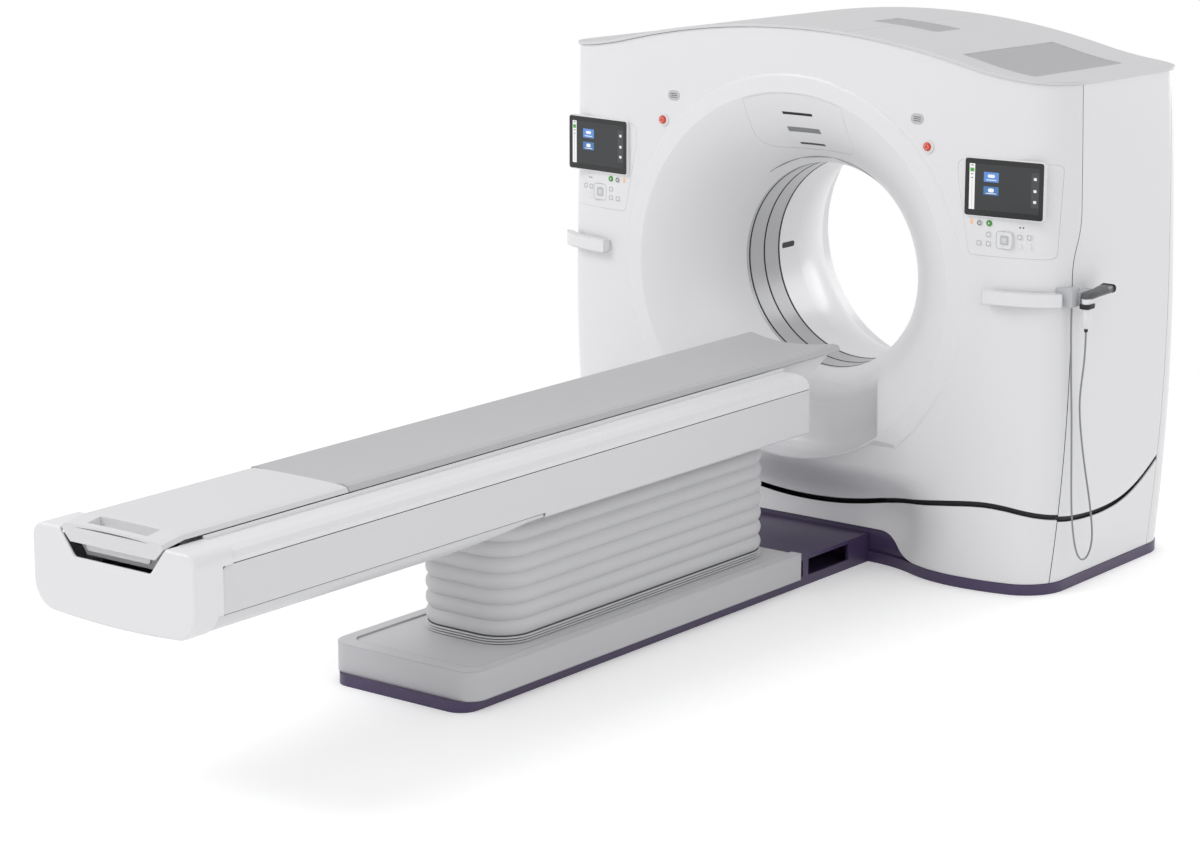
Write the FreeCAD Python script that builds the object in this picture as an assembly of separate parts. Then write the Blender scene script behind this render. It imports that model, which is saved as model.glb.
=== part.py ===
import FreeCAD, Part
import math
import os

# A CT scanner: a gantry with a funnel-shaped bore, and a patient table docked in front of it.
# Millimetres. X runs across the gantry, +Y along the bore away from the table, +Z up.
# The origin is on the floor, straight below the isocentre, which is the middle of the scan plane's circle.

Vector = FreeCAD.Vector
os.makedirs("parts", exist_ok=True)

# ---- driving dimensions: bore and covers ----
iso_height = 1100.0
bore_radius = 400.0
cover_wall = 6.0
cover_gap = 3.0
plinth_height = 42.0
front_y = -440.0
seam_low_y = -285.0
seam_high_y = -240.0
seam_bend_low = 1200.0
seam_bend_high = 1440.0
rear_seam_y = 430.0

# crown: the line along which the top cover meets the front; an arc in the middle, turning level at the sides.
# It turns level just beyond the top cover's lip.
crown_z = 2038.0
crown_radius = 3200.0
crown_half = 1160.0
crown_drop = 140.0
crown_fall = 0.0175

# plan of the gantry at four heights: height, half width, front, rear
plan_foot = (plinth_height, 1090.0, -412.0, 608.0)
plan_waist = (700.0, 1138.0, -438.0, 588.0)
plan_middle = (iso_height, 1142.0, front_y, 576.0)
plan_top = (crown_z + 70.0, 1116.0, front_y, 530.0)

# recess in the middle of the front, below the chin: its depth at the floor and at the knee, then it closes
recess_foot = 103.0
recess_knee = 130.0
knee_z = 235.0
chin_z = 405.0
flattest_recess = 1.0
recess_half = 300.0
shoulder_x = 740.0
front_arc = 900.0
corner_radius = 180.0
rear_corner = 150.0

# funnel: one arc in the plane of radius and depth, from the throat to the rim
throat_y = -157.0
rim_radius = 700.0
rim_y = -449.0
funnel_arc = 570.0
funnel_arc_r = 919.9
funnel_arc_y = 77.0
ring_radius = 775.0
ring_bevel = 17.0
ring_back_y = -280.0
ring_end_z = 505.0
chin_radius = 706.0

# pocket in the funnel's foot, into which the cradle's tip sinks as the table goes down
pocket_radius = 699.0
pocket_back_y = -292.0
pocket_back_half = 308.0
pocket_flare = 0.67
pocket_fillet = 60.0
pocket_lip = (512.0, 466.0)

# the channel panel, which is the part of the front round the pocket: half width, lower and upper edge
channel_half = 350.0
channel_low_z = 330.0
channel_high_z = 660.0

# rear cover: straight behind the liner, then an arc that leaves the bore straight
liner_end_y = 70.0
flare_y = 205.0
flare_arc = 560.0
flare_depth = 330.0

# scan window and its seals
seal_places = (-136.0, -36.0, 64.0)
seal_width = 6.0
seal_depth = 3.0

# top cover
lip_height = 12.0
lip_overhang = 7.0
top_skin = 5.0

# wave between the covers and the skirts: heights along the front and along the side
reveal_height = 22.0
reveal_setback = 14.0
front_wave = ((0.0, 218.0), (200.0, 231.0), (480.0, 287.0), (760.0, 336.0), (880.0, 345.0), (1000.0, 331.0),
              (1070.0, 316.0), (1130.0, 301.0), (1170.0, 292.0))
side_wave = ((-330.0, 309.0), (-285.0, 302.0), (-132.0, 283.0), (20.0, 277.0), (214.0, 301.0), (330.0, 348.0),
             (435.0, 412.0), (475.0, 440.0))

# skirt opening over the docking box
dock_half = 294.0
dock_height = 113.0
opening_half = 345.0
opening_height = 131.0
opening_foot_half = 535.0

# table
table_tail_y = -3985.0
table_front_y = -800.0
beam_half = 340.0
beam_bottom_z = 600.0
panel_top_z = 766.0
panel_low_z = 618.0
rail_top_z = 819.5
rail_leg_x = 265.0
cap_half = 346.0
cap_bottom_z = 541.0
cap_top_z = 823.0
pan_end_y = -2345.0
pan_tail_low_y = -3900.0
pan_tail_high_y = -3884.0
pan_sweep = ((-3250.0, 0.0), (-2830.0, 17.0), (-2410.0, 61.0))
rail_tail_y = -3823.0
frame_tail_y = -3855.0
panel_tail_y = -3866.0
crease_x = 187.0
crease_z = 857.0
edge_x = 208.0
edge_z = 852.0
rim_x = 216.0
rim_z = 834.0
cradle_tail_y = -3168.0
cradle_tip_y = -410.0
base_tail_y = -2700.0
base_half = 316.0
base_top_z = 140.0
table_plinth_height = 38.0
lift_travel = 350.0

# bellows between the table base and the beam
bellows_half = 215.0
bellows_tail_y = -2400.0
bellows_front_y = -832.0
bellows_corner = 130.0
bellows_folds = 8
bellows_stacked = 3
stacked_pitch = 9.0
bellows_valley = 16.0

# rotor
running_gap = 0.3
bearing_bore = 500.0
rotor_outer = 850.0
focus_height = 625.0
detector_radius = 1097.0
detector_half_angle = 27.0

# controls
key_travel = 1.5
stop_travel = 4.0
key_clearance = 0.4
stop_x = 601.0
stop_z = 1646.0
stop_radius = 16.0
speaker_x = 552.0
speaker_z = 1743.0
display_width = 316.0
display_height = 214.0
display_z = 1519.0
display_inner = (767.0, -452.0)
display_turn = 5.8
display_depth = 22.0
glass_depth = 3.0
keypad_outline = ((733.0, 1614.0), (731.0, 1550.0), (785.0, 1268.0), (1097.0, 1268.0), (1105.0, 1612.0))
keypad_corner = 22.0
ring_key_place = (826.0, 1388.0)
green_key_place = (863.0, 1389.0)
round_key_radius = 11.0
centre_pad_place = (923.0, 1331.0)
centre_pad_half = 16.0
pad_frame_half = 34.0
small_keys = ((862.0, 1348.0), (825.0, 1314.0), (862.0, 1314.0), (978.0, 1346.0), (1012.0, 1346.0),
              (978.0, 1312.0), (1012.0, 1312.0))
small_key_half = 10.0
key_proud = 2.0
key_length = 12.0

# scanner and its cord
cord_radius = 3.5
scanner_x = 1200.0
scanner_y = -297.0
cord_points = ((1200.0, -297.0, 1008.0), (1200.0, -297.0, 920.0), (1186.0, -290.0, 830.0),
               (1168.0, -270.0, 742.0), (1160.0, -245.0, 650.0), (1159.0, -220.0, 555.0), (1159.0, -190.0, 455.0),
               (1159.0, -158.0, 360.0), (1159.0, -134.0, 270.0), (1159.0, -122.0, 205.0), (1159.0, -132.0, 155.0),
               (1159.0, -163.0, 125.0), (1159.0, -202.0, 126.0), (1159.0, -236.0, 158.0), (1159.0, -261.0, 215.0),
               (1159.0, -281.0, 300.0), (1159.0, -291.0, 395.0), (1158.0, -295.0, 495.0), (1156.0, -297.0, 600.0),
               (1154.0, -300.0, 705.0), (1152.0, -307.0, 810.0), (1151.0, -312.0, 915.0), (1150.0, -318.0, 1015.0),
               (1150.0, -318.0, 1100.0))


# ---- small helpers ----
def box(x_low, x_high, y_low, y_high, z_low, z_high):
    """A box between two corners."""
    return Part.makeBox(x_high - x_low, y_high - y_low, z_high - z_low, Vector(x_low, y_low, z_low))


def rod_y(radius, y_low, y_high, x=0.0, z=iso_height):
    """A cylinder along the bore."""
    return Part.makeCylinder(radius, y_high - y_low, Vector(x, y_low, z), Vector(0, 1, 0))


def tube_y(inner, outer, y_low, y_high, x=0.0, z=iso_height):
    """A ring along the bore."""
    return rod_y(outer, y_low, y_high, x, z).cut(rod_y(inner, y_low - 1, y_high + 1, x, z))


def mirrored(shape):
    """The same piece on the other side of the middle plane."""
    return shape.mirror(Vector(0, 0, 0), Vector(1, 0, 0))


def fused(shapes):
    """Shapes joined into one."""
    return shapes[0].multiFuse(shapes[1:]).removeSplitter()


def polygon_face(points):
    """A flat face through points in order."""
    return Part.Face(Part.makePolygon(list(points) + [points[0]]))


def along(edge, direction):
    """Whether an edge is straight and runs along a direction."""
    if edge.Curve.TypeId != "Part::GeomLine":
        return False
    return abs(abs(edge.tangentAt(edge.FirstParameter).dot(direction)) - 1) < 1e-6


def rounded(solid, radius, direction, wanted=None):
    """A solid with its edges along one direction rounded, where wanted says so."""
    edges = [edge for edge in solid.Edges if along(edge, direction)]
    if wanted is not None:
        edges = [edge for edge in edges if wanted(edge.CenterOfMass)]
    return solid.makeFillet(radius, edges)


def save(shape, name):
    """Writes one node."""
    shape.exportStep("parts/" + name + ".step")
    print(name, "solids", len(shape.Solids), "valid", shape.isValid(), "volume", round(shape.Volume / 1e6, 3))


x_axis = Vector(1, 0, 0)
y_axis = Vector(0, 1, 0)
z_axis = Vector(0, 0, 1)


# ---- the gantry's outer form ----
def recess_at(z):
    """How deep the middle of the front stands back at a height."""
    z = min(max(z, plinth_height), chin_z)
    if z <= knee_z:
        return recess_foot + (recess_knee - recess_foot) * (z - plinth_height) / (knee_z - plinth_height)
    share = (z - knee_z) / (chin_z - knee_z)
    return max(recess_knee * (1 - share * share * (3 - 2 * share)), flattest_recess)


rear_limit = plan_foot[3] + 40


def half_plan(half_width, front, recess, rear, grow):
    """The right half of the plan as (arc midpoint or None, end point), after its first point, grown outwards."""
    turn = 2 * math.atan2(recess, shoulder_x - recess_half)
    middle_y = front + recess
    out = []

    def moved(x, y, angle):
        return (x - grow * math.sin(angle), y - grow * math.cos(angle))

    start = (recess_half, middle_y - grow)
    if turn > 0:
        bend = (shoulder_x - recess_half) / (2 * math.sin(turn))
        half = turn / 2
        out.append((moved(recess_half + bend * math.sin(half), middle_y - bend * (1 - math.cos(half)), half),
                    moved(recess_half + bend * math.sin(turn), middle_y - bend * (1 - math.cos(turn)), turn)))
        out.append((moved(shoulder_x - bend * math.sin(half), front + bend * (1 - math.cos(half)), half),
                    (shoulder_x, front - grow)))
    else:
        out.append((None, ((recess_half + shoulder_x) / 2, front - grow)))
        out.append((None, (shoulder_x, front - grow)))
    lean = math.asin((half_width - corner_radius - shoulder_x) / (front_arc - corner_radius))
    arc_y = front + front_arc

    def on_arc(angle, radius):
        return (shoulder_x + radius * math.sin(angle), arc_y - radius * math.cos(angle))

    out.append((on_arc(lean / 2, front_arc + grow), on_arc(lean, front_arc + grow)))
    corner = on_arc(lean, front_arc - corner_radius)
    mid_angle = (lean + math.pi / 2) / 2
    reach = corner_radius + grow
    out.append(((corner[0] + reach * math.sin(mid_angle), corner[1] - reach * math.cos(mid_angle)),
                (half_width + grow, corner[1])))
    out.append((None, (half_width + grow, rear - rear_corner)))
    reach = rear_corner + grow
    diagonal = reach * math.sqrt(0.5)
    out.append(((half_width - rear_corner + diagonal, rear - rear_corner + diagonal),
                (half_width - rear_corner, rear + grow)))
    return start, out


def plan_wire(plan, grow=0.0, height=None):
    """The closed plan of the gantry at one height."""
    z, half_width, front, rear = plan
    if height is not None:
        z = height
    recess = recess_at(z)
    start, steps = half_plan(half_width, front, recess, rear, grow)

    def edge(first, middle, last):
        if middle is None:
            return Part.makeLine(Vector(first[0], first[1], z), Vector(last[0], last[1], z))
        return Part.Arc(Vector(first[0], first[1], z), Vector(middle[0], middle[1], z),
                        Vector(last[0], last[1], z)).toShape()

    def flip(point):
        return None if point is None else (-point[0], point[1])

    edges = []
    here = start
    for middle, end in steps:
        edges.append(edge(here, middle, end))
        here = end
    edges.append(edge(here, None, flip(here)))
    points = [start] + [end for middle, end in steps]
    for index in range(len(steps) - 1, -1, -1):
        edges.append(edge(flip(points[index + 1]), flip(steps[index][0]), flip(points[index])))
    edges.append(edge(flip(start), None, start))
    return Part.Wire(edges)


def plan_prism(plan, grow, z_low, z_high):
    """A straight prism on one of the plans."""
    return Part.Face(plan_wire(plan, grow, z_low)).extrude(Vector(0, 0, z_high - z_low))


def bowed(index, z):
    """A plan value at a height: one parabola up to the isocentre, and a tangent one from there to the top."""
    low, mid, high, top = [(plan[0], plan[index]) for plan in (plan_foot, plan_waist, plan_middle, plan_top)]
    first = (mid[1] - low[1]) / (mid[0] - low[0])
    second = (high[1] - mid[1]) / (high[0] - mid[0])
    bend = (second - first) / (high[0] - low[0])
    slope = second + bend * (high[0] - mid[0])
    if z <= high[0]:
        return mid[1] + (z - mid[0]) * (second + bend * (z - high[0]))
    span = top[0] - high[0]
    bend = (top[1] - high[1] - slope * span) / (span * span)
    return high[1] + (z - high[0]) * (slope + bend * (z - high[0]))


def plan_at(z):
    """The plan of the gantry's body at a height."""
    return (z, bowed(1, z), bowed(2, z), bowed(3, z))


def body_loft(grow):
    """The barrel-shaped body between the plinth and the crown, grown outwards; its recess closes at the chin."""
    rise = (chin_z - knee_z) / 4
    low = [plinth_height, (plinth_height + knee_z) / 2] + [knee_z + step * rise for step in range(5)]
    middle = [chin_z, (chin_z + plan_middle[0]) / 2, plan_middle[0]]
    high = [plan_middle[0], (plan_middle[0] + plan_top[0]) / 2, plan_top[0]]
    lofts = [Part.makeLoft([plan_wire(plan_at(z), grow) for z in heights], True, False)
             for heights in (low, middle, high)]
    return lofts[0].fuse(lofts[1:])


def turned(edges):
    """A solid turned about the bore's axis from edges drawn as (x = radius, y) at isocentre height."""
    face = Part.Face(Part.Wire(edges))
    return face.revolve(Vector(0, 0, iso_height), y_axis, 360)


def spot(radius, y):
    """A point at a radius from the bore's axis."""
    return Vector(radius, y, iso_height)


def line(first, last):
    return Part.makeLine(first, last)


def funnel_point(radius, inset=0.0):
    """The depth of the funnel's surface at a radius, or of its back at an inset."""
    reach = funnel_arc - inset
    return funnel_arc_y - math.sqrt(reach * reach - (funnel_arc_r - radius) ** 2)


def funnel_void(inset):
    """What the funnel leaves open in front of the throat; an inset gives the same for the wall's back."""
    reach = funnel_arc - inset
    depth = math.sqrt(reach ** 2 - (funnel_arc_r - bore_radius - inset) ** 2)
    throat = spot(bore_radius + inset, funnel_arc_y - depth)
    wide = rim_radius + 40
    rim = spot(wide, funnel_point(wide, inset))
    middle_r = (bore_radius + wide) / 2
    arc = Part.Arc(throat, spot(middle_r, funnel_point(middle_r, inset)), rim).toShape()
    front = rim_y - 100
    return turned([line(spot(0, front), spot(0, throat.y)), line(spot(0, throat.y), throat), arc,
                   line(rim, spot(wide, front)), line(spot(wide, front), spot(0, front))])


def flare_void(inset):
    """What the rear cover leaves open behind the liner."""
    reach = flare_arc - inset
    centre_r = bore_radius + flare_arc
    start = spot(bore_radius + inset, flare_y)
    end_y = flare_y + flare_depth
    angle = math.asin(flare_depth / reach)
    end = spot(centre_r - reach * math.cos(angle), end_y)
    middle = spot(centre_r - reach * math.cos(angle / 2), flare_y + reach * math.sin(angle / 2))
    back = rear_limit + 20
    near = spot(bore_radius + inset, liner_end_y)
    return turned([line(spot(0, liner_end_y), near), line(near, start), Part.Arc(start, middle, end).toShape(),
                   line(end, spot(end.x, back)), line(spot(end.x, back), spot(0, back)),
                   line(spot(0, back), spot(0, liner_end_y))])


def pocket_void(inset):
    """What the pocket takes out of the funnel's foot; an inset gives the same for its walls' backs."""
    radius = pocket_radius + inset
    back = pocket_back_y + inset
    near = rim_y - 40
    lip_low, lip_high = pocket_lip
    bend = pocket_fillet
    diagonal = bend * (1 - math.sqrt(0.5))
    funnel_y = funnel_point(lip_high, inset)
    funnel_end = spot(lip_high, funnel_y)
    floor_turn = Part.Arc(spot(radius, back - bend), spot(radius - diagonal, back - diagonal),
                          spot(radius - bend, back)).toShape()
    lip_turn = Part.Arc(spot(lip_low, back), spot((lip_low + lip_high) / 2 + 2, back + (funnel_y - back) * 0.28),
                        funnel_end).toShape()
    profile = turned([line(spot(radius, near), spot(radius, back - bend)), floor_turn,
                      line(spot(radius - bend, back), spot(lip_low, back)), lip_turn,
                      line(funnel_end, spot(bore_radius, funnel_y)),
                      line(spot(bore_radius, funnel_y), spot(bore_radius, near)),
                      line(spot(bore_radius, near), spot(radius, near))])

    def wall_x(y):
        return pocket_back_half + inset + (back - y) * pocket_flare

    deep = back + 60
    plan = polygon_face([Vector(-wall_x(deep), deep, 0), Vector(wall_x(deep), deep, 0),
                         Vector(wall_x(near), near, 0), Vector(-wall_x(near), near, 0)])
    return profile.common(plan.extrude(Vector(0, 0, iso_height - bore_radius / 2)))


def ring_body(inset):
    """The raised ring round the funnel; at its foot only the rim goes on, as a chin over the recess."""
    radius = ring_radius - inset
    face_y = rim_y + inset
    corner = Part.Arc(spot(radius - ring_bevel, face_y + 5), spot(radius - ring_bevel * 0.3, face_y + 11),
                      spot(radius, face_y + 5 + ring_bevel)).toShape()
    solid = turned([line(spot(0, ring_back_y), spot(0, face_y)), line(spot(0, face_y), spot(rim_radius, face_y)),
                    line(spot(rim_radius, face_y), spot(radius - ring_bevel, face_y + 5)), corner,
                    line(spot(radius, face_y + 5 + ring_bevel), spot(radius, ring_back_y)),
                    line(spot(radius, ring_back_y), spot(0, ring_back_y))])
    far = ring_radius + 20
    slope_y = rim_y + 16
    end_z = ring_end_z + 2 * inset
    below = polygon_face([Vector(-far, rim_y - 60, 0), Vector(-far, rim_y - 60, end_z + 109),
                          Vector(-far, slope_y, end_z - 10), Vector(-far, ring_back_y + 1, end_z - 10),
                          Vector(-far, ring_back_y + 1, 0)]).extrude(Vector(2 * far, 0, 0))
    chin = rod_y(chin_radius - inset, rim_y - 80, ring_back_y + 5)
    return solid.cut(below.cut(chin))


def crown_height(x):
    """The height of the crown along the front: an arc, then a reverse arc that ends level."""
    turn_x = 2 * crown_drop * crown_radius / crown_half
    x = min(abs(x), crown_half)
    if x <= turn_x:
        return crown_z - x * x / (2 * crown_radius)
    slope = turn_x / crown_radius
    past = x - turn_x
    return crown_z - turn_x * slope / 2 - past * slope * (1 - past / (2 * (crown_half - turn_x)))


def under_crown(rise):
    """Everything below the crown, raised by some height; the crown falls a little towards the rear."""
    turn_x = 2 * crown_drop * crown_radius / crown_half
    reach = plan_middle[1] + 90
    stations = (-crown_half, -turn_x, turn_x, crown_half)
    y = front_y - 60
    points = [Vector(x, y, crown_height(x) + rise) for x in stations]
    low_left = Vector(-reach, y, -50)
    low_right = Vector(reach, y, -50)
    edges = [line(Vector(-reach, y, points[0].z), points[0])]
    for index in range(len(stations) - 1):
        middle = (stations[index] + stations[index + 1]) / 2
        halfway = Vector(middle, y, crown_height(middle) + rise)
        edges.append(Part.Arc(points[index], halfway, points[index + 1]).toShape())
    edges.append(line(points[-1], Vector(reach, y, points[-1].z)))
    edges.append(line(Vector(reach, y, points[-1].z), low_right))
    edges.append(line(low_right, low_left))
    edges.append(line(low_left, Vector(-reach, y, points[0].z)))
    depth = rear_limit - y
    return Part.Face(Part.Wire(edges)).extrude(Vector(0, depth, -depth * crown_fall))


def spline_edge(points):
    curve = Part.BSplineCurve()
    curve.interpolate([Vector(*point) for point in points])
    return curve.toShape()


def below_front_wave(drop):
    """Everything below the wave across the front, lowered by a drop."""
    right = [(x, 0, z - drop) for x, z in front_wave]
    points = [(-x, y, z) for x, y, z in reversed(right[1:])] + right
    low = -10.0
    first = Vector(*points[0])
    last = Vector(*points[-1])
    face = Part.Face(Part.Wire([spline_edge(points), line(last, Vector(last.x, 0, low)),
                                line(Vector(last.x, 0, low), Vector(first.x, 0, low)),
                                line(Vector(first.x, 0, low), first)]))
    face.translate(Vector(0, rim_y - 40, 0))
    return face.extrude(Vector(0, seam_high_y + 20 - rim_y + 40, 0))


def below_side_wave(drop):
    """Everything below the wave along the sides, lowered by a drop."""
    points = [(0, y, z - drop) for y, z in side_wave]
    low = -10.0
    first = Vector(*points[0])
    last = Vector(*points[-1])
    face = Part.Face(Part.Wire([spline_edge(points), line(last, Vector(0, last.y, low)),
                                line(Vector(0, last.y, low), Vector(0, first.y, low)),
                                line(Vector(0, first.y, low), first)]))
    reach = plan_middle[1] + 40
    face.translate(Vector(-reach, 0, 0))
    return face.extrude(Vector(2 * reach, 0, 0))


far_out = plan_middle[1] + 80
outer_form = body_loft(0).fuse(ring_body(0))
inner_form = body_loft(-cover_wall).fuse(ring_body(cover_wall))
walls = outer_form.cut(inner_form).common(under_crown(-cover_gap / 2))


def seam_slab(y_side, shift):
    """Everything in front of the seam between front and side covers, or behind it, the seam moved by a shift."""
    low = seam_low_y + shift
    high = seam_high_y + shift
    bend = high - low
    rise = (seam_bend_high - seam_bend_low) / 4
    top = crown_z + 60
    x = -far_out
    start = Vector(x, low, seam_bend_low)
    middle = Vector(x, low + bend / 2, seam_bend_low + 2 * rise)
    end = Vector(x, high, seam_bend_high)
    first = Part.Arc(start, Vector(x, low + bend / 8, seam_bend_low + rise), middle).toShape()
    second = Part.Arc(middle, Vector(x, high - bend / 8, seam_bend_low + 3 * rise), end).toShape()
    corners = [Vector(x, high, top), Vector(x, y_side, top), Vector(x, y_side, 0), Vector(x, low, 0)]
    around = [line(end, corners[0])]
    around += [line(corners[index], corners[index + 1]) for index in range(3)]
    around.append(line(corners[3], start))
    face = Part.Face(Part.Wire([first, second] + around))
    return face.extrude(Vector(2 * far_out, 0, 0))


def face_y(x, z):
    """Where the front of the covers stands at a place."""
    probe = Part.makeLine(Vector(x, rim_y - 100, z), Vector(x, 0, z))
    return min(vertex.Y for vertex in outer_form.common(probe).Vertexes)


# ---- covers ----
front_void = funnel_void(0).fuse(pocket_void(0))
front_slab = seam_slab(rim_y - 20, -cover_gap / 2)
front_walls = walls.common(front_slab).cut(front_void).cut(below_front_wave(0))
funnel_end = box(-far_out, far_out, rim_y - 20, throat_y, 0, crown_z)
funnel_back = funnel_void(cover_wall).fuse(pocket_void(cover_wall))
funnel_wall = funnel_back.cut(front_void).common(outer_form).common(funnel_end)
front_shell = front_walls.fuse(funnel_wall)

hood_half = 222.0
hood_low = iso_height + 462.0
hood_corner = 60.0
hood_rim = 694.0


def hood_block(shrink):
    half = hood_half - shrink
    block = box(-half, half, rim_y - 20, throat_y - 20, hood_low + shrink, iso_height + hood_rim)
    block = rounded(block, hood_corner - shrink, y_axis, lambda place: place.z < hood_low + 10)
    return block.common(rod_y(hood_rim - shrink, rim_y - 20, throat_y))


# slits in the hood: half width, lower and upper height above the isocentre
hood_slits = ((68.0, 607.0, 618.0), (74.0, 536.0, 556.0), (57.0, 482.0, 491.0))
slit_block = [box(-half, half, rim_y - 20, throat_y, iso_height + low, iso_height + high)
              for half, low, high in hood_slits]
hood_panel = funnel_wall.common(hood_block(cover_gap / 4)).cut(Part.makeCompound(slit_block))
save(hood_panel, "hood_panel")
front_shell = front_shell.cut(hood_block(0))

lens_band = funnel_void(4.5).cut(funnel_void(2.0))
lenses = [lens_band.common(block) for block in slit_block]


# keypads are inserts in the front cover, on both sides
def keypad_block(shrink, side):
    points = [Vector(side * x, rim_y - 40, z) for x, z in keypad_outline]
    middle = Vector(side * 910, rim_y - 40, 1440)
    moved = []
    for point in points:
        inward = middle.sub(point)
        inward.normalize()
        moved.append(point.add(inward.multiply(shrink)))
    return rounded(polygon_face(moved).extrude(Vector(0, 180, 0)), keypad_corner, y_axis)


def key_bore(x, z, radius):
    return rod_y(radius, rim_y - 40, seam_low_y, x, z)


def button_cap(radius, slope, y_low, y_high, x, z):
    """A round cap with a broken front edge, in two slopes."""
    shoulder = slope * 0.35
    points = [(0, y_low), (radius - slope, y_low), (radius - shoulder, y_low + shoulder), (radius, y_low + slope),
              (radius, y_high), (0, y_high)]
    face = polygon_face([Vector(x + r, y, z) for r, y in points])
    return face.revolve(Vector(x, 0, z), y_axis, 360)


def pad_block(x, z, half, corner, y_low, y_high):
    block = box(x - half, x + half, y_low, y_high, z - half, z + half)
    return rounded(block, corner, y_axis)


pad_corner = 5.0
stop_collar = 25.0
stop_stem = 9.0
speaker_half = 27.5
speaker_end = 19.0
speaker_proud = 1.5


def speaker_block(side, y_low, y_high):
    block = box(side * speaker_x - speaker_half, side * speaker_x + speaker_half, y_low, y_high,
                speaker_z - speaker_end, speaker_z + speaker_end)
    return rounded(block, speaker_end - 0.5, y_axis)


collars = []
speakers = []
for side, name in ((-1, "left"), (1, "right")):
    panel = walls.common(keypad_block(cover_gap / 4, side)).common(front_slab)
    front_shell = front_shell.cut(keypad_block(0, side))
    small = []
    for x, z in small_keys:
        proud = face_y(side * x, z) - key_proud
        small.append(pad_block(side * x, z, small_key_half, 3.0, proud, proud + key_proud + 4).cut(inner_form))
    centre_x = side * centre_pad_place[0]
    proud = face_y(centre_x, centre_pad_place[1]) - key_proud
    frame = pad_block(centre_x, centre_pad_place[1], pad_frame_half, 3 * pad_corner, proud, proud + key_proud + 4)
    panel = fused([panel, frame.cut(inner_form)] + small)
    bores = [key_bore(side * place[0], place[1], round_key_radius + key_clearance)
             for place in (ring_key_place, green_key_place)]
    bores.append(pad_block(centre_x, centre_pad_place[1], centre_pad_half + key_clearance, pad_corner,
                           rim_y - 40, seam_low_y))
    panel = panel.cut(Part.makeCompound(bores))
    save(panel, "keypad_" + name)
    for key_name, place in (("ring_key_", ring_key_place), ("green_key_", green_key_place)):
        proud = face_y(side * place[0], place[1]) - key_proud - key_travel
        key = button_cap(round_key_radius, 1.2, proud, proud + key_length, side * place[0], place[1])
        save(key, key_name + name)
    proud = face_y(centre_x, centre_pad_place[1]) - key_proud - key_travel
    pad = pad_block(centre_x, centre_pad_place[1], centre_pad_half, pad_corner, proud, proud + key_length)
    save(pad, "centre_pad_" + name)
    # emergency stop: a collar on the cover, a mushroom head on a stem through it
    stop_face = face_y(side * stop_x, stop_z)
    collar = tube_y(stop_stem + key_clearance, stop_collar, stop_face - 6, stop_face + 14, side * stop_x, stop_z)
    cup = rod_y(stop_radius + key_clearance, stop_face - 7, stop_face + 6, side * stop_x, stop_z)
    collar = collar.cut(cup)
    collars.append(collar)
    front_shell = front_shell.cut(rod_y(stop_collar, stop_face - 10, stop_face + 30, side * stop_x, stop_z))
    head = button_cap(stop_radius, 5.0, stop_face - 13, stop_face, side * stop_x, stop_z)
    stem = rod_y(stop_stem, stop_face - 1, stop_face + 20, side * stop_x, stop_z)
    save(fused([head, stem]), "stop_button_" + name)
    speaker_face = face_y(side * speaker_x, speaker_z)
    pill = speaker_block(side, speaker_face - speaker_proud, speaker_face + cover_wall)
    front_shell = front_shell.cut(speaker_block(side, speaker_face - 10, speaker_face + 40))
    slots = [box(side * speaker_x - 16, side * speaker_x + 16, speaker_face - 10, speaker_face + 20,
                 speaker_z + row * 7.0 - 1.2, speaker_z + row * 7.0 + 1.2) for row in (-1, 0, 1)]
    speakers.append(pill.cut(Part.makeCompound(slots)))
save(Part.makeCompound(collars), "stop_collars")
save(Part.makeCompound(speakers), "speaker_grilles")
# the front's lower middle, round the pocket, is a panel of its own
channel_block = box(-channel_half, channel_half, rim_y - 20, throat_y, channel_low_z, channel_high_z)
save(front_shell.common(channel_block), "channel_panel")
save(front_shell.cut(channel_block), "front_cover")

# side covers and their skirts
right_half = box(0, far_out, seam_low_y, rear_limit, 0, crown_z + 60)
side_slab = seam_slab(rear_seam_y - cover_gap / 2, cover_gap / 2).common(right_half)
side_walls = walls.common(side_slab)
side_cover = side_walls.cut(below_side_wave(0))
save(side_cover, "side_cover_right")
save(mirrored(side_cover), "side_cover_left")
side_skirt = side_walls.common(below_side_wave(reveal_height))
side_skirt = max(side_skirt.Solids, key=lambda solid: solid.Volume)
save(side_skirt, "side_skirt_right")
save(mirrored(side_skirt), "side_skirt_left")

# front skirt, cut away over the docking box in an S on each side
def opening_side(side):
    """One side of the opening, from its top down to the plinth."""
    rise = (opening_height - plinth_height) / 4
    run = (opening_foot_half - opening_half) / 2
    top = Vector(side * opening_half, 0, opening_height)
    middle = Vector(side * (opening_half + run), 0, opening_height - 2 * rise)
    foot = Vector(side * opening_foot_half, 0, plinth_height)
    first = Part.Arc(top, Vector(side * (opening_half + run * 0.6), 0, opening_height - rise * 0.6), middle)
    second = Part.Arc(middle, Vector(side * (opening_foot_half - run * 0.6), 0, plinth_height + rise * 0.6), foot)
    return [first.toShape(), second.toShape()]


opening_top = line(Vector(-opening_half, 0, opening_height), Vector(opening_half, 0, opening_height))
foot_points = [Vector(opening_foot_half, 0, plinth_height), Vector(opening_foot_half, 0, 0),
               Vector(-opening_foot_half, 0, 0), Vector(-opening_foot_half, 0, plinth_height)]
opening_foot = [line(foot_points[index], foot_points[index + 1]) for index in range(3)]
opening = Part.Face(Part.Wire([opening_top] + opening_side(1) + opening_foot + opening_side(-1)[::-1]))
opening.translate(Vector(0, rim_y - 40, 0))
opening = opening.extrude(Vector(0, 400, 0))
front_skirt = walls.common(front_slab).common(below_front_wave(reveal_height)).cut(opening)
save(front_skirt, "front_skirt")

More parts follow.
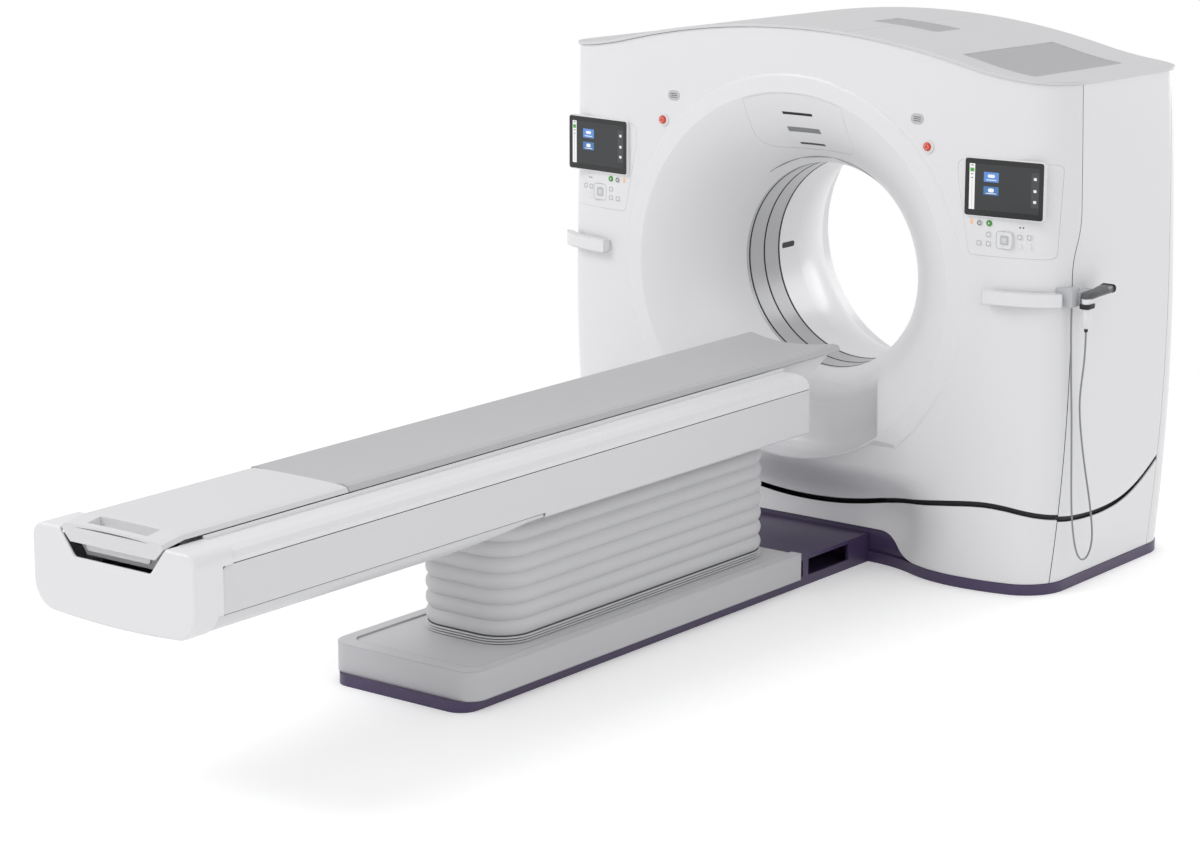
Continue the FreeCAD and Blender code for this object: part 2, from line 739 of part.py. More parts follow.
# reveal: a black band behind the gap
band_outer = body_loft(-reveal_setback)
band_inner = body_loft(-reveal_setback - 4)
band_walls = band_outer.cut(band_inner)
band_front = band_walls.common(front_slab).common(below_front_wave(-12)).cut(below_front_wave(reveal_height + 12))
band_side = band_walls.common(side_slab).common(below_side_wave(-12)).cut(below_side_wave(reveal_height + 12))
save(Part.makeCompound([band_front, band_side, mirrored(band_side)]), "reveal_band")

# rear cover with its flare
rear_slab = box(-far_out, far_out, rear_seam_y + cover_gap / 2, rear_limit, 0, crown_z + 60)
rear_void = flare_void(0)
rear_walls = walls.common(rear_slab).cut(rear_void)
flare_wall = flare_void(cover_wall).cut(rear_void).common(body_loft(0))
save(rear_walls.fuse(flare_wall), "rear_cover")

# scan window: a liner with three grooves, and a seal in each
liner = tube_y(bore_radius, bore_radius + cover_wall, throat_y + 0.5, liner_end_y - 0.5)
seals = []
for place in seal_places:
    low = place - seal_width / 2
    high = place + seal_width / 2
    liner = liner.cut(rod_y(bore_radius + seal_depth, low, high))
    seals.append(tube_y(bore_radius + 1, bore_radius + seal_depth, low, high))
save(liner, "bore_liner")
save(Part.makeCompound(seals), "bore_seals")

# the small window on the bore's left wall, behind the last seal, and the hood's lenses
window_z = iso_height
window_low = 88.0
window_high = 172.0
window_half = 11.0
window_block = box(-bore_radius - 20, 0, window_low, window_high, window_z - window_half, window_z + window_half)
window_block = rounded(window_block, window_half - 2, x_axis)
bore_window = tube_y(bore_radius - 1.0, bore_radius, window_low - 5, window_high + 5).common(window_block)
save(Part.makeCompound(lenses + [bore_window]), "sensor_windows")

# top cover with a lip, and its grilles
top_rear = plan_top[3] + 14
top_plan = (crown_z, plan_top[1] + 8, front_y, top_rear)
lowest_lip = crown_z - crown_drop - 80
lid_height = crown_z + 60 - lowest_lip
cap_prism = plan_prism(top_plan, lip_overhang, lowest_lip, lowest_lip + lid_height)
hollow_prism = plan_prism(top_plan, -14.0, lowest_lip - 10, lowest_lip + lid_height)
under_lip = under_crown(lip_height)
top_cover = cap_prism.common(under_lip).cut(under_crown(0))
top_cover = top_cover.cut(under_crown(lip_height - top_skin).common(hollow_prism))
# one seam runs back from the front edge
top_seam_x = 231.0
top_seam = box(top_seam_x - 1.5, top_seam_x + 1.5, front_y - 40, rear_limit, lowest_lip, crown_z + 60)
top_cover = top_cover.cut(top_seam.cut(under_crown(lip_height - 3)))
grille_places = ((668.0, 975.0, -330.0, 320.0), (-975.0, -668.0, -330.0, 320.0), (110.0, 400.0, -75.0, 108.0))
grille_band = under_crown(lip_height - 2).cut(under_crown(lip_height - 5)).common(cap_prism)
grilles = []
for x_low, x_high, y_low, y_high in grille_places:
    hole = rounded(box(x_low, x_high, y_low, y_high, lowest_lip, crown_z + 90), 12.0, z_axis)
    plate = box(x_low + 0.5, x_high - 0.5, y_low + 0.5, y_high - 0.5, lowest_lip, crown_z + 90)
    plate = rounded(plate, 12.0, z_axis)
    top_cover = top_cover.cut(hole)
    grilles.append(grille_band.common(plate))
save(max(top_cover.Solids, key=lambda solid: solid.Volume), "top_cover")
save(Part.makeCompound(grilles), "top_grilles")

# ---- gantry base ----
plinth = plan_prism(plan_foot, 3.0, 0, plinth_height - 1)
recess_face_y = plan_foot[2] + recess_foot
upstand = body_loft(-cover_wall - 1).cut(body_loft(-cover_wall - 7))
upstand = upstand.fuse(plan_prism(plan_foot, -cover_wall - 1, plinth_height - 2, plinth_height + 1).cut(
    plan_prism(plan_foot, -cover_wall - 7, plinth_height - 3, plinth_height + 2)))
dock_wall = upstand.common(box(-opening_foot_half - 25, opening_foot_half + 25, front_y, 0, plinth_height - 1,
                               opening_height + 6))
save(fused([plinth, dock_wall]), "gantry_plinth")

upright_x = 930.0
upright_half = 60.0
stator_front = 290.0
stator_back = 330.0
foot_z = plinth_height - 1
uprights = [box(side * upright_x - upright_half, side * upright_x + upright_half, 120, 420, foot_z, 1500)
            for side in (-1, 1)]
foot_beams = [box(-upright_x + upright_half, upright_x - upright_half, y, y + 80, foot_z, foot_z + 120)
              for y in (120.0, 340.0)]
save(fused(uprights + foot_beams), "gantry_frame")
stator_outer = upright_x - upright_half
stator = tube_y(bearing_bore + 60, stator_outer, stator_front, stator_back)
save(stator, "stator_ring")
save(tube_y(bearing_bore, bearing_bore + 60, 220, stator_back), "main_bearing")

# ---- rotor ----
drum_inner = bearing_bore - 30
drum_plate = tube_y(drum_inner, rotor_outer, 140, 165)
journal = tube_y(drum_inner, bearing_bore - running_gap, 164, stator_back)
save(fused([drum_plate, journal]), "rotor_drum")
tube_height = iso_height + focus_height
housing = rod_y(125, -190, 110, 0, tube_height + 20)
yoke = box(-90, 90, 60, 140, tube_height - 60, tube_height + 90)
save(fused([housing, yoke]), "xray_tube")
save(box(-120, 120, -86, 14, tube_height - 180, tube_height - 106).cut(
    box(-60, 60, -40, -32, tube_height - 200, tube_height - 100)), "collimator")
generator = box(-800, -580, -180, 140, iso_height - 170, iso_height + 170)
save(rounded(generator, 20, y_axis), "hv_generator")
fan = tube_y(detector_radius, detector_radius + 80, -116, 140, 0, tube_height)
reach = detector_radius + 200
spread = math.tan(math.radians(detector_half_angle)) * reach
fan_wedge = polygon_face([Vector(0, -200, tube_height), Vector(-spread, -200, tube_height - reach),
                          Vector(spread, -200, tube_height - reach)]).extrude(Vector(0, 400, 0))
save(fan.common(fan_wedge), "detector_arc")
save(tube_y(rotor_outer - 120, rotor_outer - 30, 165, 185), "slip_ring")
motor = rod_y(70, 190, stator_front, -500, iso_height - 600)
save(motor, "drive_motor")

# ---- table: what stands on the floor ----
table_plinth = box(-dock_half, dock_half, base_tail_y - 19, table_front_y, 0, table_plinth_height)
corner = 70.0
table_plinth = rounded(table_plinth, corner, z_axis, lambda place: place.y < base_tail_y)
save(table_plinth, "table_plinth")
base = box(-base_half, base_half, base_tail_y, table_front_y, table_plinth_height, base_top_z)
base = rounded(base, corner, z_axis, lambda place: place.y < base_tail_y + 5)
inset_edge = 45.0
inset_tail_y = base_tail_y + 60
inset_depth = 6.0
base_wall = 8.0
inset = box(-base_half + inset_edge, base_half - inset_edge, inset_tail_y, table_front_y + 5,
            base_top_z - inset_depth, base_top_z + 5)
inset = rounded(inset, inset_edge, z_axis, lambda place: place.y < inset_tail_y + 5)
hollow = box(-base_half + base_wall, base_half - base_wall, base_tail_y + base_wall, table_front_y + 5, 0,
             base_top_z - inset_depth - base_wall)
hollow = rounded(hollow, corner - base_wall, z_axis, lambda place: place.y < base_tail_y + base_wall + 7)
column_y = -1600.0
column_hole = box(-150, 150, column_y - 200, column_y + 200, 0, 300)
save(base.cut(inset).cut(hollow).cut(column_hole), "base_cover")

dock_front = recess_face_y - 3.0
dock = box(-dock_half, dock_half, table_front_y, dock_front, 0, dock_height)
dock_wall_x = dock_half - 12
dock = dock.cut(box(-dock_wall_x, dock_wall_x, table_front_y - 1, dock_front + 1, 12, dock_height - 12))
windows = [box(-dock_half - 1, dock_half + 1, low, high, 36, dock_height - 14)
           for low, high in ((table_front_y + 14, table_front_y + 44), (table_front_y + 80, -450.0))]
save(dock.cut(Part.makeCompound(windows)), "dock_frame")

column_foot = table_plinth_height
stage_length = 302.0
stage_wall = 8.0


def column_stage(half_x, half_y, z_low):
    outer = box(-half_x, half_x, column_y - half_y, column_y + half_y, z_low, z_low + stage_length)
    inner = box(-half_x + stage_wall, half_x - stage_wall, column_y - half_y + stage_wall,
                column_y + half_y - stage_wall, z_low - 1, z_low + stage_length + 1)
    return outer.cut(inner)


stage_step = stage_wall + 0.5
save(column_stage(130, 180, column_foot), "column_outer")
save(column_stage(130 - stage_step, 180 - stage_step, column_foot + 5 + lift_travel / 2), "column_middle")

# ---- table: the beam ----
frame_front = table_front_y - 30
deck_z = 763.0
deck = box(-rail_leg_x + 2, rail_leg_x - 2, frame_tail_y, frame_front, deck_z - 10, deck_z)
side_beams = [box(side * 215 - 35, side * 215 + 35, frame_tail_y, frame_front, panel_low_z, deck_z - 10)
              for side in (-1, 1)]
inner_stage = column_stage(130 - 2 * stage_step, 180 - 2 * stage_step, deck_z - 10 - stage_length)
save(fused([deck, inner_stage] + side_beams), "beam_frame")


def profile_y(points, y_low, y_high):
    """A closed outline of (x, z) points, extruded along Y."""
    face = polygon_face([Vector(x, y_low, z) for x, z in points])
    return face.extrude(Vector(0, y_high - y_low, 0))


def profile_x(points, half):
    """A closed outline of (y, z) points, extruded along X on both sides."""
    face = polygon_face([Vector(-half, y, z) for y, z in points])
    return face.extrude(Vector(2 * half, 0, 0))


def belly_block(half, top, inset, y_low, y_high):
    """A block with the belly's section: straight sides, rounded lower corners and a slightly bowed underside."""
    x = half - inset
    corner = 91.0
    bend = 26.7
    side_z = cap_bottom_z + 101.0
    under_z = cap_bottom_z + 10.0 + inset
    corner_middle_z = cap_bottom_z + 36.7 + 0.7 * inset
    right = Vector(x, y_low, side_z)
    under = Vector(half - corner, y_low, under_z)
    left = Vector(-x, y_low, side_z)
    under_left = Vector(-half + corner, y_low, under_z)
    middle = Vector(half - bend - 0.7 * inset, y_low, corner_middle_z)
    middle_left = Vector(-middle.x, y_low, corner_middle_z)
    top_right = Vector(x, y_low, top - inset)
    top_left = Vector(-x, y_low, top - inset)
    face = Part.Face(Part.Wire([line(top_right, right), Part.Arc(right, middle, under).toShape(),
                                Part.Arc(under, Vector(0, y_low, cap_bottom_z + inset), under_left).toShape(),
                                Part.Arc(under_left, middle_left, left).toShape(), line(left, top_left),
                                line(top_left, top_right)]))
    return face.extrude(Vector(0, y_high - y_low, 0))


panel_wall = 5.0
panel_foot_x = 260.0
panel_foot_corner = 10.0
panel_tail_corner = 23.0
wall_x = beam_half - panel_wall
side_outline = ((beam_half, beam_bottom_z), (beam_half, panel_top_z), (wall_x, panel_top_z),
                (wall_x, beam_bottom_z + panel_wall), (panel_foot_x, beam_bottom_z + panel_wall),
                (panel_foot_x, beam_bottom_z))
side_panel = profile_y(side_outline, pan_end_y, table_front_y)
tail_outline = ((beam_half, panel_low_z), (beam_half, panel_top_z), (wall_x, panel_top_z), (wall_x, panel_low_z))
tail_panel = profile_y(tail_outline, panel_tail_y, pan_end_y)
side_panel = rounded(side_panel, panel_foot_corner, y_axis,
                     lambda place: place.x > beam_half - 1 and place.z < beam_bottom_z + 1)
tail_panel = rounded(tail_panel, panel_tail_corner, x_axis,
                     lambda place: place.y < panel_tail_y + 1 and place.z > panel_top_z - 1)
panel = fused([side_panel, tail_panel])
save(panel, "side_panel_right")
save(mirrored(panel), "side_panel_left")

# rail cover: an outer round, a flat top, a lip beside the cradle, and a leg down to the deck
rail_low_z = panel_top_z + 2.5
lip_x = rim_x + 3
lip_wall = 7.0
lip_top_z = 832.0
rail_wall = 4.5
rail_bend = ((beam_half, 784.0), (331.0, 801.0), (308.0, 813.0), (282.0, 817.5))
rail_back = ((282.0, 817.5 - rail_wall), (306.0, 808.5), (327.0, 798.0), (wall_x, 782.0))
rail_outline = (((beam_half, rail_low_z),) + rail_bend
                + ((lip_x + lip_wall, rail_top_z), (lip_x + lip_wall, lip_top_z), (lip_x, lip_top_z),
                   (lip_x, rail_top_z - rail_wall), (rail_leg_x, rail_top_z - rail_wall - 0.5),
                   (rail_leg_x, deck_z + 1), (rail_leg_x + 6, deck_z + 1), (rail_leg_x + 6, rail_top_z - 6))
                + rail_back + ((wall_x, rail_low_z),))
rail = profile_y(rail_outline, rail_tail_y, table_front_y)
save(Part.makeCompound([rail, mirrored(rail)]), "rail_covers")

# belly pan: a side profile that sweeps up towards the bellows, with rounded lower edges
pan_half = beam_half - 2
pan_top_z = panel_low_z - 4


def pan_block(inset):
    low = cap_bottom_z + inset
    top = pan_top_z + inset
    sweep = [Vector(0, y, low + rise) for y, rise in pan_sweep]
    high = sweep[2].z
    low_start = Vector(0, pan_tail_low_y + inset, low)
    top_start = Vector(0, pan_tail_high_y + inset, top)
    low_end = Vector(0, pan_end_y - inset, high)
    top_end = Vector(0, pan_end_y - inset, top)
    side = Part.Face(Part.Wire([line(top_start, low_start), line(low_start, sweep[0]), Part.Arc(*sweep).toShape(),
                                line(sweep[2], low_end), line(low_end, top_end), line(top_end, top_start)]))
    side.translate(Vector(-pan_half - 10, 0, 0))
    swept = side.extrude(Vector(2 * pan_half + 20, 0, 0))
    return swept.common(belly_block(pan_half, pan_top_z + 20, inset, pan_tail_low_y - 10, pan_end_y + 5))


pan = pan_block(0).cut(pan_block(4))
save(pan, "belly_pan")

# end cap with a notch for the tongue; its rear edge steps back below the rails
cap_wall = 6.0
cap_corner = 45.0
cap_front_round = 10.0
cap = belly_block(cap_half, cap_top_z, 0, table_tail_y, rail_tail_y + 3)
cap = rounded(cap, cap_corner, y_axis, lambda place: place.z > cap_top_z - 1)
cap_front = [edge for edge in cap.Edges if abs(edge.CenterOfMass.y - table_tail_y) < 0.01]
cap = cap.makeFillet(cap_front_round, cap_front)
cap_inside = belly_block(cap_half, cap_top_z, cap_wall, table_tail_y + cap_wall, rail_tail_y + 13)
cap_inside = rounded(cap_inside, cap_corner - cap_wall, y_axis, lambda place: place.z > cap_top_z - cap_wall - 1)
behind_cap = profile_x(((rail_tail_y - 2, cap_top_z + 77), (rail_tail_y - 2, panel_top_z + 2),
                        (panel_tail_y - 2, panel_top_z + 2), (panel_tail_y - 2, panel_low_z),
                        (pan_tail_high_y - 4, panel_low_z), (pan_tail_low_y - 6, cap_bottom_z - 11),
                        (rail_tail_y + 123, cap_bottom_z - 11), (rail_tail_y + 123, cap_top_z + 77)), cap_half + 10)
notch_top = 222.0
notch_foot = 161.0
notch_z = 739.0
notch = profile_y(((-notch_top, cap_top_z + 20), (-notch_top, cap_top_z - 4), (-notch_foot, notch_z),
                   (notch_foot, notch_z), (notch_top, cap_top_z - 4), (notch_top, cap_top_z + 20)),
                  table_tail_y - 5, table_tail_y + 60)
notch_corner = 20.0
notch = rounded(notch, notch_corner, y_axis, lambda place: place.z < notch_z + 1)
bed_slot = box(-lip_x, lip_x, table_tail_y + cap_corner, rail_tail_y + 23, deck_z, cap_top_z + 20)
save(cap.cut(cap_inside).cut(behind_cap).cut(notch).cut(bed_slot), "end_cap")

# tail cover: a bowed lid that slopes down at its end, with a finger slot; a tongue hangs in the notch
lid_drop = 4.0
lid_slope_y = -3895.0
lid_end_y = table_tail_y + 2
lid_fall = 14.0


def lid_wire(y, fall, thickness):
    """The lid's section; without a thickness it is filled down to a flat underside."""
    crease = crease_z - lid_drop - fall
    edge = edge_z - lid_drop - fall
    rim = rim_z - fall
    left_top = Vector(-crease_x, y, crease)
    right_top = Vector(crease_x, y, crease)
    edges = [Part.Arc(left_top, Vector(0, y, crease + 3), right_top).toShape(),
             line(right_top, Vector(edge_x, y, edge)), line(Vector(edge_x, y, edge), Vector(rim_x, y, rim))]
    if thickness > 0:
        low_right = Vector(edge_x - 3, y, edge - thickness)
        low_left = Vector(-edge_x + 3, y, edge - thickness)
        edges.append(line(Vector(rim_x, y, rim), low_right))
        edges.append(Part.Arc(low_right, Vector(0, y, crease + 3 - thickness), low_left).toShape())
        edges.append(line(low_left, Vector(-rim_x, y, rim)))
    else:
        edges.append(line(Vector(rim_x, y, rim), Vector(rim_x, y, rim - 20)))
        edges.append(line(Vector(rim_x, y, rim - 20), Vector(-rim_x, y, rim - 20)))
        edges.append(line(Vector(-rim_x, y, rim - 20), Vector(-rim_x, y, rim)))
    edges.append(line(Vector(-rim_x, y, rim), Vector(-edge_x, y, edge)))
    edges.append(line(Vector(-edge_x, y, edge), left_top))
    return Part.Wire(edges)


lid_wall = 6.0
lid_section = lid_wire(lid_slope_y, 0, lid_wall)
lid_flat = Part.Face(lid_section).extrude(Vector(0, cradle_tail_y - 4 - lid_slope_y, 0))
lid_slope = Part.makeLoft([lid_wire(lid_end_y, lid_fall, lid_wall), lid_section], True, True)
lid_fill = Part.makeLoft([lid_wire(lid_end_y, lid_fall, 0), lid_wire(lid_slope_y, 0, 0)], True, True)
slot_half = 127.0
slot_low_y = -3959.0
slot_high_y = -3905.0
slot_floor_z = 822.0
slot_wall = 3.0
slot_out = slot_half + slot_wall
above_lid = crease_z + 43
cup = lid_fill.common(box(-slot_out, slot_out, slot_low_y - slot_wall, slot_high_y + slot_wall,
                          slot_floor_z - slot_wall, above_lid))
slot = box(-slot_half, slot_half, slot_low_y, slot_high_y, slot_floor_z, above_lid)
tongue_low = (180.0, 784.0)
tongue_middle = (rim_x - 2, rim_z - lid_fall)
tongue_top = (edge_x - 3, edge_z - lid_drop - lid_fall - 3)
tongue = profile_y(((-tongue_low[0], tongue_low[1]), tongue_low, tongue_middle, tongue_top,
                    (-tongue_top[0], tongue_top[1]), (-tongue_middle[0], tongue_middle[1])),
                   lid_end_y, lid_end_y + lid_wall)
rib_x = 150.0
rib_half = 2.0
ribs = [box(side * rib_x - rib_half, side * rib_x + rib_half, frame_tail_y + 5, cradle_tail_y - 10, deck_z,
            edge_z - lid_drop - 1) for side in (-1, 1)]
pivot_y = -3955.0
pivot_z = 806.0
pivot_radius = 4.0
lug_x = 142.0
lug_half = 4.0
lug_reach = 11.0
lug_top_z = 836.0
lugs = [box(side * lug_x - lug_half, side * lug_x + lug_half, pivot_y - lug_reach, pivot_y + lug_reach,
            pivot_z - 10, lug_top_z) for side in (-1, 1)]
pivot_bore = Part.makeCylinder(pivot_radius + running_gap, 2 * lug_x + 36, Vector(-lug_x - 18, pivot_y, pivot_z),
                               x_axis)
tail_cover = fused([lid_flat, lid_slope, cup, tongue] + ribs + lugs).cut(slot).cut(pivot_bore)
save(tail_cover, "tail_cover")

# release handle: a shallow U that swings out from its upper pivots
handle_low_z = 758.0
grip_half = 135.0
grip_hole_half = 105.0
grip_hole_low_z = 786.0
grip_corner = 12.0
pin_end_x = 147.0
grip = box(-grip_half, grip_half, pivot_y - 4, pivot_y + 4, handle_low_z, pivot_z + 6)
grip = grip.cut(box(-grip_hole_half, grip_hole_half, pivot_y - 10, pivot_y + 10, grip_hole_low_z, pivot_z + 20))
grip = rounded(grip, grip_corner, y_axis, lambda place: place.z < handle_low_z + 1)
pins = [Part.makeCylinder(pivot_radius, pin_end_x - grip_hole_half, Vector(x, pivot_y, pivot_z), x_axis)
        for x in (-pin_end_x, grip_hole_half)]
save(fused([grip] + pins), "release_handle")

# cradle: a dished board with a scooped tip, on a carrier that slides on the deck
dish_z = 843.0
under_edge = (205.0, 829.0)
under_z = 816.0


def cradle_section(y):
    low_right = Vector(under_edge[0], y, under_edge[1])
    low_left = Vector(-under_edge[0], y, under_edge[1])
    top_left = Vector(-crease_x, y, crease_z)
    top_right = Vector(crease_x, y, crease_z)
    right = [top_right, Vector(edge_x, y, edge_z), Vector(rim_x, y, rim_z), low_right]
    left = [low_left, Vector(-rim_x, y, rim_z), Vector(-edge_x, y, edge_z), top_left]
    edges = [Part.Arc(top_left, Vector(0, y, dish_z), top_right).toShape()]
    edges += [line(right[index], right[index + 1]) for index in range(3)]
    edges.append(Part.Arc(low_right, Vector(0, y, under_z), low_left).toShape())
    edges += [line(left[index], left[index + 1]) for index in range(3)]
    return Part.Face(Part.Wire(edges))


scoop_radius = 620.0
scoop_y = cradle_tip_y + math.sqrt(scoop_radius ** 2 - edge_x ** 2)
cradle = cradle_section(cradle_tail_y).extrude(Vector(0, cradle_tip_y - cradle_tail_y, 0))
scoop = Part.makeCylinder(scoop_radius, 200, Vector(0, scoop_y, dish_z - 100), z_axis)
save(cradle.cut(scoop), "cradle")

carrier_top = under_z - 1
carrier_half = 170.0
slider = box(-carrier_half, carrier_half, cradle_tail_y + 60, table_front_y - 60, deck_z + 1, carrier_top)
nose_back_y = table_front_y - 80
nose_low_y = cradle_tip_y - 105
nose_top_y = cradle_tip_y - 15
nose = profile_x(((nose_back_y, deck_z + 2), (nose_low_y, deck_z + 2), (nose_top_y, carrier_top),
                  (nose_back_y, carrier_top)), carrier_half)
save(fused([slider, nose]), "cradle_carrier")


# ---- bellows ----
def bellows_ring(half, y_low, y_high, z, radius):
    """A rounded rectangle at one height, as a closed wire."""
    edges = []
    quarter = math.sqrt(0.5)
    corners = ((half - radius, y_low + radius, 1, -1), (half - radius, y_high - radius, 1, 1),
               (-half + radius, y_high - radius, -1, 1), (-half + radius, y_low + radius, -1, -1))
    arcs = []
    for x, y, side_x, side_y in corners:
        first = Vector(x + (radius if side_x * side_y > 0 else 0) * side_x, y, z)
        along_y = Vector(x, y + radius * side_y, z)
        along_x = Vector(x + radius * side_x, y, z)
        middle = Vector(x + radius * quarter * side_x, y + radius * quarter * side_y, z)
        first, last = (along_y, along_x) if side_x * side_y < 0 else (along_x, along_y)
        arcs.append((first, middle, last))
    for index, (first, middle, last) in enumerate(arcs):
        edges.append(Part.Arc(first, middle, last).toShape())
        edges.append(line(last, arcs[(index + 1) % 4][0]))
    return Part.Wire(edges)


heights = [base_top_z - 6]
stack_top = heights[0] + bellows_stacked * stacked_pitch
fold_pitch = (beam_bottom_z - stack_top) / bellows_folds
levels = [(heights[0], 0)]
for index in range(bellows_stacked):
    levels.append((heights[0] + (index + 0.5) * stacked_pitch, 1))
    levels.append((heights[0] + (index + 1) * stacked_pitch, 0))
for index in range(bellows_folds):
    start = stack_top + index * fold_pitch
    levels.append((start + 0.28 * fold_pitch, 0.85))
    levels.append((start + 0.5 * fold_pitch, 1))
    levels.append((start + 0.72 * fold_pitch, 0.85))
    levels.append((start + fold_pitch, 0))
rings = []
for z, share in levels:
    inset_now = bellows_valley * (1 - share)
    rings.append(bellows_ring(bellows_half - inset_now, bellows_tail_y + inset_now, bellows_front_y - inset_now,
                              z, bellows_corner - inset_now))
bellows_skin = Part.makeLoft(rings, True, True)
core_inset = bellows_valley + 4
core = Part.Face(bellows_ring(bellows_half - core_inset, bellows_tail_y + core_inset,
                              bellows_front_y - core_inset, heights[0] - 1, bellows_corner - core_inset))
bellows = bellows_skin.cut(core.extrude(Vector(0, 0, beam_bottom_z - heights[0] + 2)))
save(bellows, "bellows")

# ---- displays ----
housings = []
glasses = []
for side in (-1, 1):
    x_low, y_front = display_inner
    tray = box(x_low, x_low + display_width, y_front, y_front + display_depth,
               display_z - display_height / 2, display_z + display_height / 2)
    tray = rounded(tray, 12, y_axis)
    mount = box(x_low + 30, x_low + display_width - 40, y_front + display_depth - 1, y_front + 120,
                display_z - 70, display_z + 70)
    tray = fused([tray, mount])
    recess = box(x_low + 3, x_low + display_width - 3, y_front - 1, y_front + glass_depth,
                 display_z - display_height / 2 + 3, display_z + display_height / 2 - 3)
    recess = rounded(recess, 10, y_axis)
    glass = box(x_low + 3.5, x_low + display_width - 3.5, y_front, y_front + glass_depth,
                display_z - display_height / 2 + 3.5, display_z + display_height / 2 - 3.5)
    glass = rounded(glass, 10, y_axis)
    housing = tray.cut(recess)
    for piece in (housing, glass):
        piece.rotate(Vector(x_low, y_front, 0), z_axis, display_turn)
    housing = housing.cut(outer_form)
    housings.append(housing if side > 0 else mirrored(housing))
    glasses.append(glass if side > 0 else mirrored(glass))
save(Part.makeCompound(housings), "display_housings")
save(Part.makeCompound(glasses), "display_glasses")

# ---- grab handles: a rounded bar that follows the corner ----
handle_z = 1124.0
handle_inner_x = 865.0
handle_end_y = -362.0
handle_reach = 30.0
bar_half = 13.0
bar_height = 26.0
waist_plan = plan_at(handle_z)
bar_band = Part.Face(plan_wire(waist_plan, handle_reach + bar_half, handle_z - bar_height))
bar_hole = Part.Face(plan_wire(waist_plan, handle_reach - bar_half, handle_z - bar_height))
bar = bar_band.cut(bar_hole).extrude(Vector(0, 0, 2 * bar_height))
bar = bar.common(box(handle_inner_x, far_out + 60, rim_y - 100, handle_end_y, 0, crown_z))
posts = [box(handle_inner_x, handle_inner_x + 26, rim_y - 12, front_y + 60, handle_z - 20, handle_z + 20),
         box(1085, 1150, handle_end_y - 22, handle_end_y, handle_z - 20, handle_z + 20)]
limit = plan_prism(waist_plan, handle_reach, handle_z - 40, handle_z + 40)
handle = fused([bar] + [post.common(limit) for post in posts]).cut(outer_form)
save(Part.makeCompound([handle, mirrored(handle)]), "grab_handles")

# ---- scanner holder, scanner and cord ----
cord_end = Vector(*cord_points[-1])
cord_start = Vector(*cord_points[0])
bracket = box(1100, 1166, cord_end.y - 28, cord_end.y + 26, cord_end.z, 1166)
arm = box(1140, 1172, cord_end.y + 20, -200, 1100, 1150)
holder = fused([bracket, arm]).cut(outer_form)
save(holder, "scanner_holder")
grip_low = Part.makeCylinder(7, 14, Vector(cord_start.x, cord_start.y, cord_start.z), z_axis)
grip_body = box(scanner_x - 17, scanner_x + 17, scanner_y - 22, scanner_y + 30, cord_start.z + 13, 1110)
head = box(scanner_x - 26, scanner_x + 34, scanner_y + 10, -130, 1112, 1160)
neck = box(scanner_x - 17, scanner_x + 17, scanner_y + 2, scanner_y + 50, 1109, 1140)
save(fused([grip_low, grip_body, neck, rounded(head, 16, y_axis)]), "hand_scanner")


def cord_path(points):
    """Straight runs joined by tangent arcs, and the radius of each arc."""
    places = [Vector(*point) for point in points]
    edges = []
    radii = []
    here = places[0]
    for index in range(1, len(places) - 1):
        back = places[index - 1].sub(places[index])
        ahead = places[index + 1].sub(places[index])
        shorter = min(back.Length, ahead.Length)
        turn = math.pi - back.getAngle(ahead)
        setback = 0.45 * shorter
        radii.append(setback / math.tan(turn / 2))
        back.normalize()
        ahead.normalize()
        first = places[index].add(Vector(back).multiply(setback))
        last = places[index].add(Vector(ahead).multiply(setback))
        inward = back.add(ahead)
        inward.normalize()
        depth = radii[-1] / math.cos(turn / 2) - radii[-1]
        middle = places[index].add(inward.multiply(depth))
        edges.append(line(here, first))
        edges.append(Part.Arc(first, middle, last).toShape())
        here = last
    edges.append(line(here, places[-1]))
    return Part.Wire(edges), radii


path, radii = cord_path(cord_points)
direction = Vector(*cord_points[1]).sub(cord_start)
profile = Part.Wire([Part.makeCircle(cord_radius, cord_start, direction)])
cord = path.makePipeShell([profile], True, False)
print("cord radii", [round(radius) for radius in radii])
print("cord length", round(path.Length), "volume ratio",
      round(cord.Volume / (math.pi * cord_radius ** 2 * path.Length), 4))
save(cord, "scanner_cord")
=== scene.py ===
import math

import bmesh
import bpy
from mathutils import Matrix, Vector
from mathutils.bvhtree import BVHTree


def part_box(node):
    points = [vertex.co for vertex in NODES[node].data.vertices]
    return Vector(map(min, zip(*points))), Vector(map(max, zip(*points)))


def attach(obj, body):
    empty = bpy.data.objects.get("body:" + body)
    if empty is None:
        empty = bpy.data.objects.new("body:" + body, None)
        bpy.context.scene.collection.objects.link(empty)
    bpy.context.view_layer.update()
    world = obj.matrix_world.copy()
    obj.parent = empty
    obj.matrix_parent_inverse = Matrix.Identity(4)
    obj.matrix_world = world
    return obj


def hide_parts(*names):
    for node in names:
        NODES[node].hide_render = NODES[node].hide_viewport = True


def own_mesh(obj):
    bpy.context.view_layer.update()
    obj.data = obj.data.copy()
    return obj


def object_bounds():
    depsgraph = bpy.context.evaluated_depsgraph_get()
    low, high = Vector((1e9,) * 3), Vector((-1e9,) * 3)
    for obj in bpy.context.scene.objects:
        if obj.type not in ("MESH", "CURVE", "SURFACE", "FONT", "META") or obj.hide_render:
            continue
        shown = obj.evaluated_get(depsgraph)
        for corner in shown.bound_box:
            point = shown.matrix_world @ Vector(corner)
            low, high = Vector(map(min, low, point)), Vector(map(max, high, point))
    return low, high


bl_info = {
    "name": "CT scanner finish",
    "version": (1, 0, 0),
    "blender": (4, 5, 0),
    "location": "View3D > Sidebar > CT scanner",
    "description": "Finishes of a CT scanner: enamelled covers, bellows, displays, keypads, cord and studio",
    "category": "Object",
}

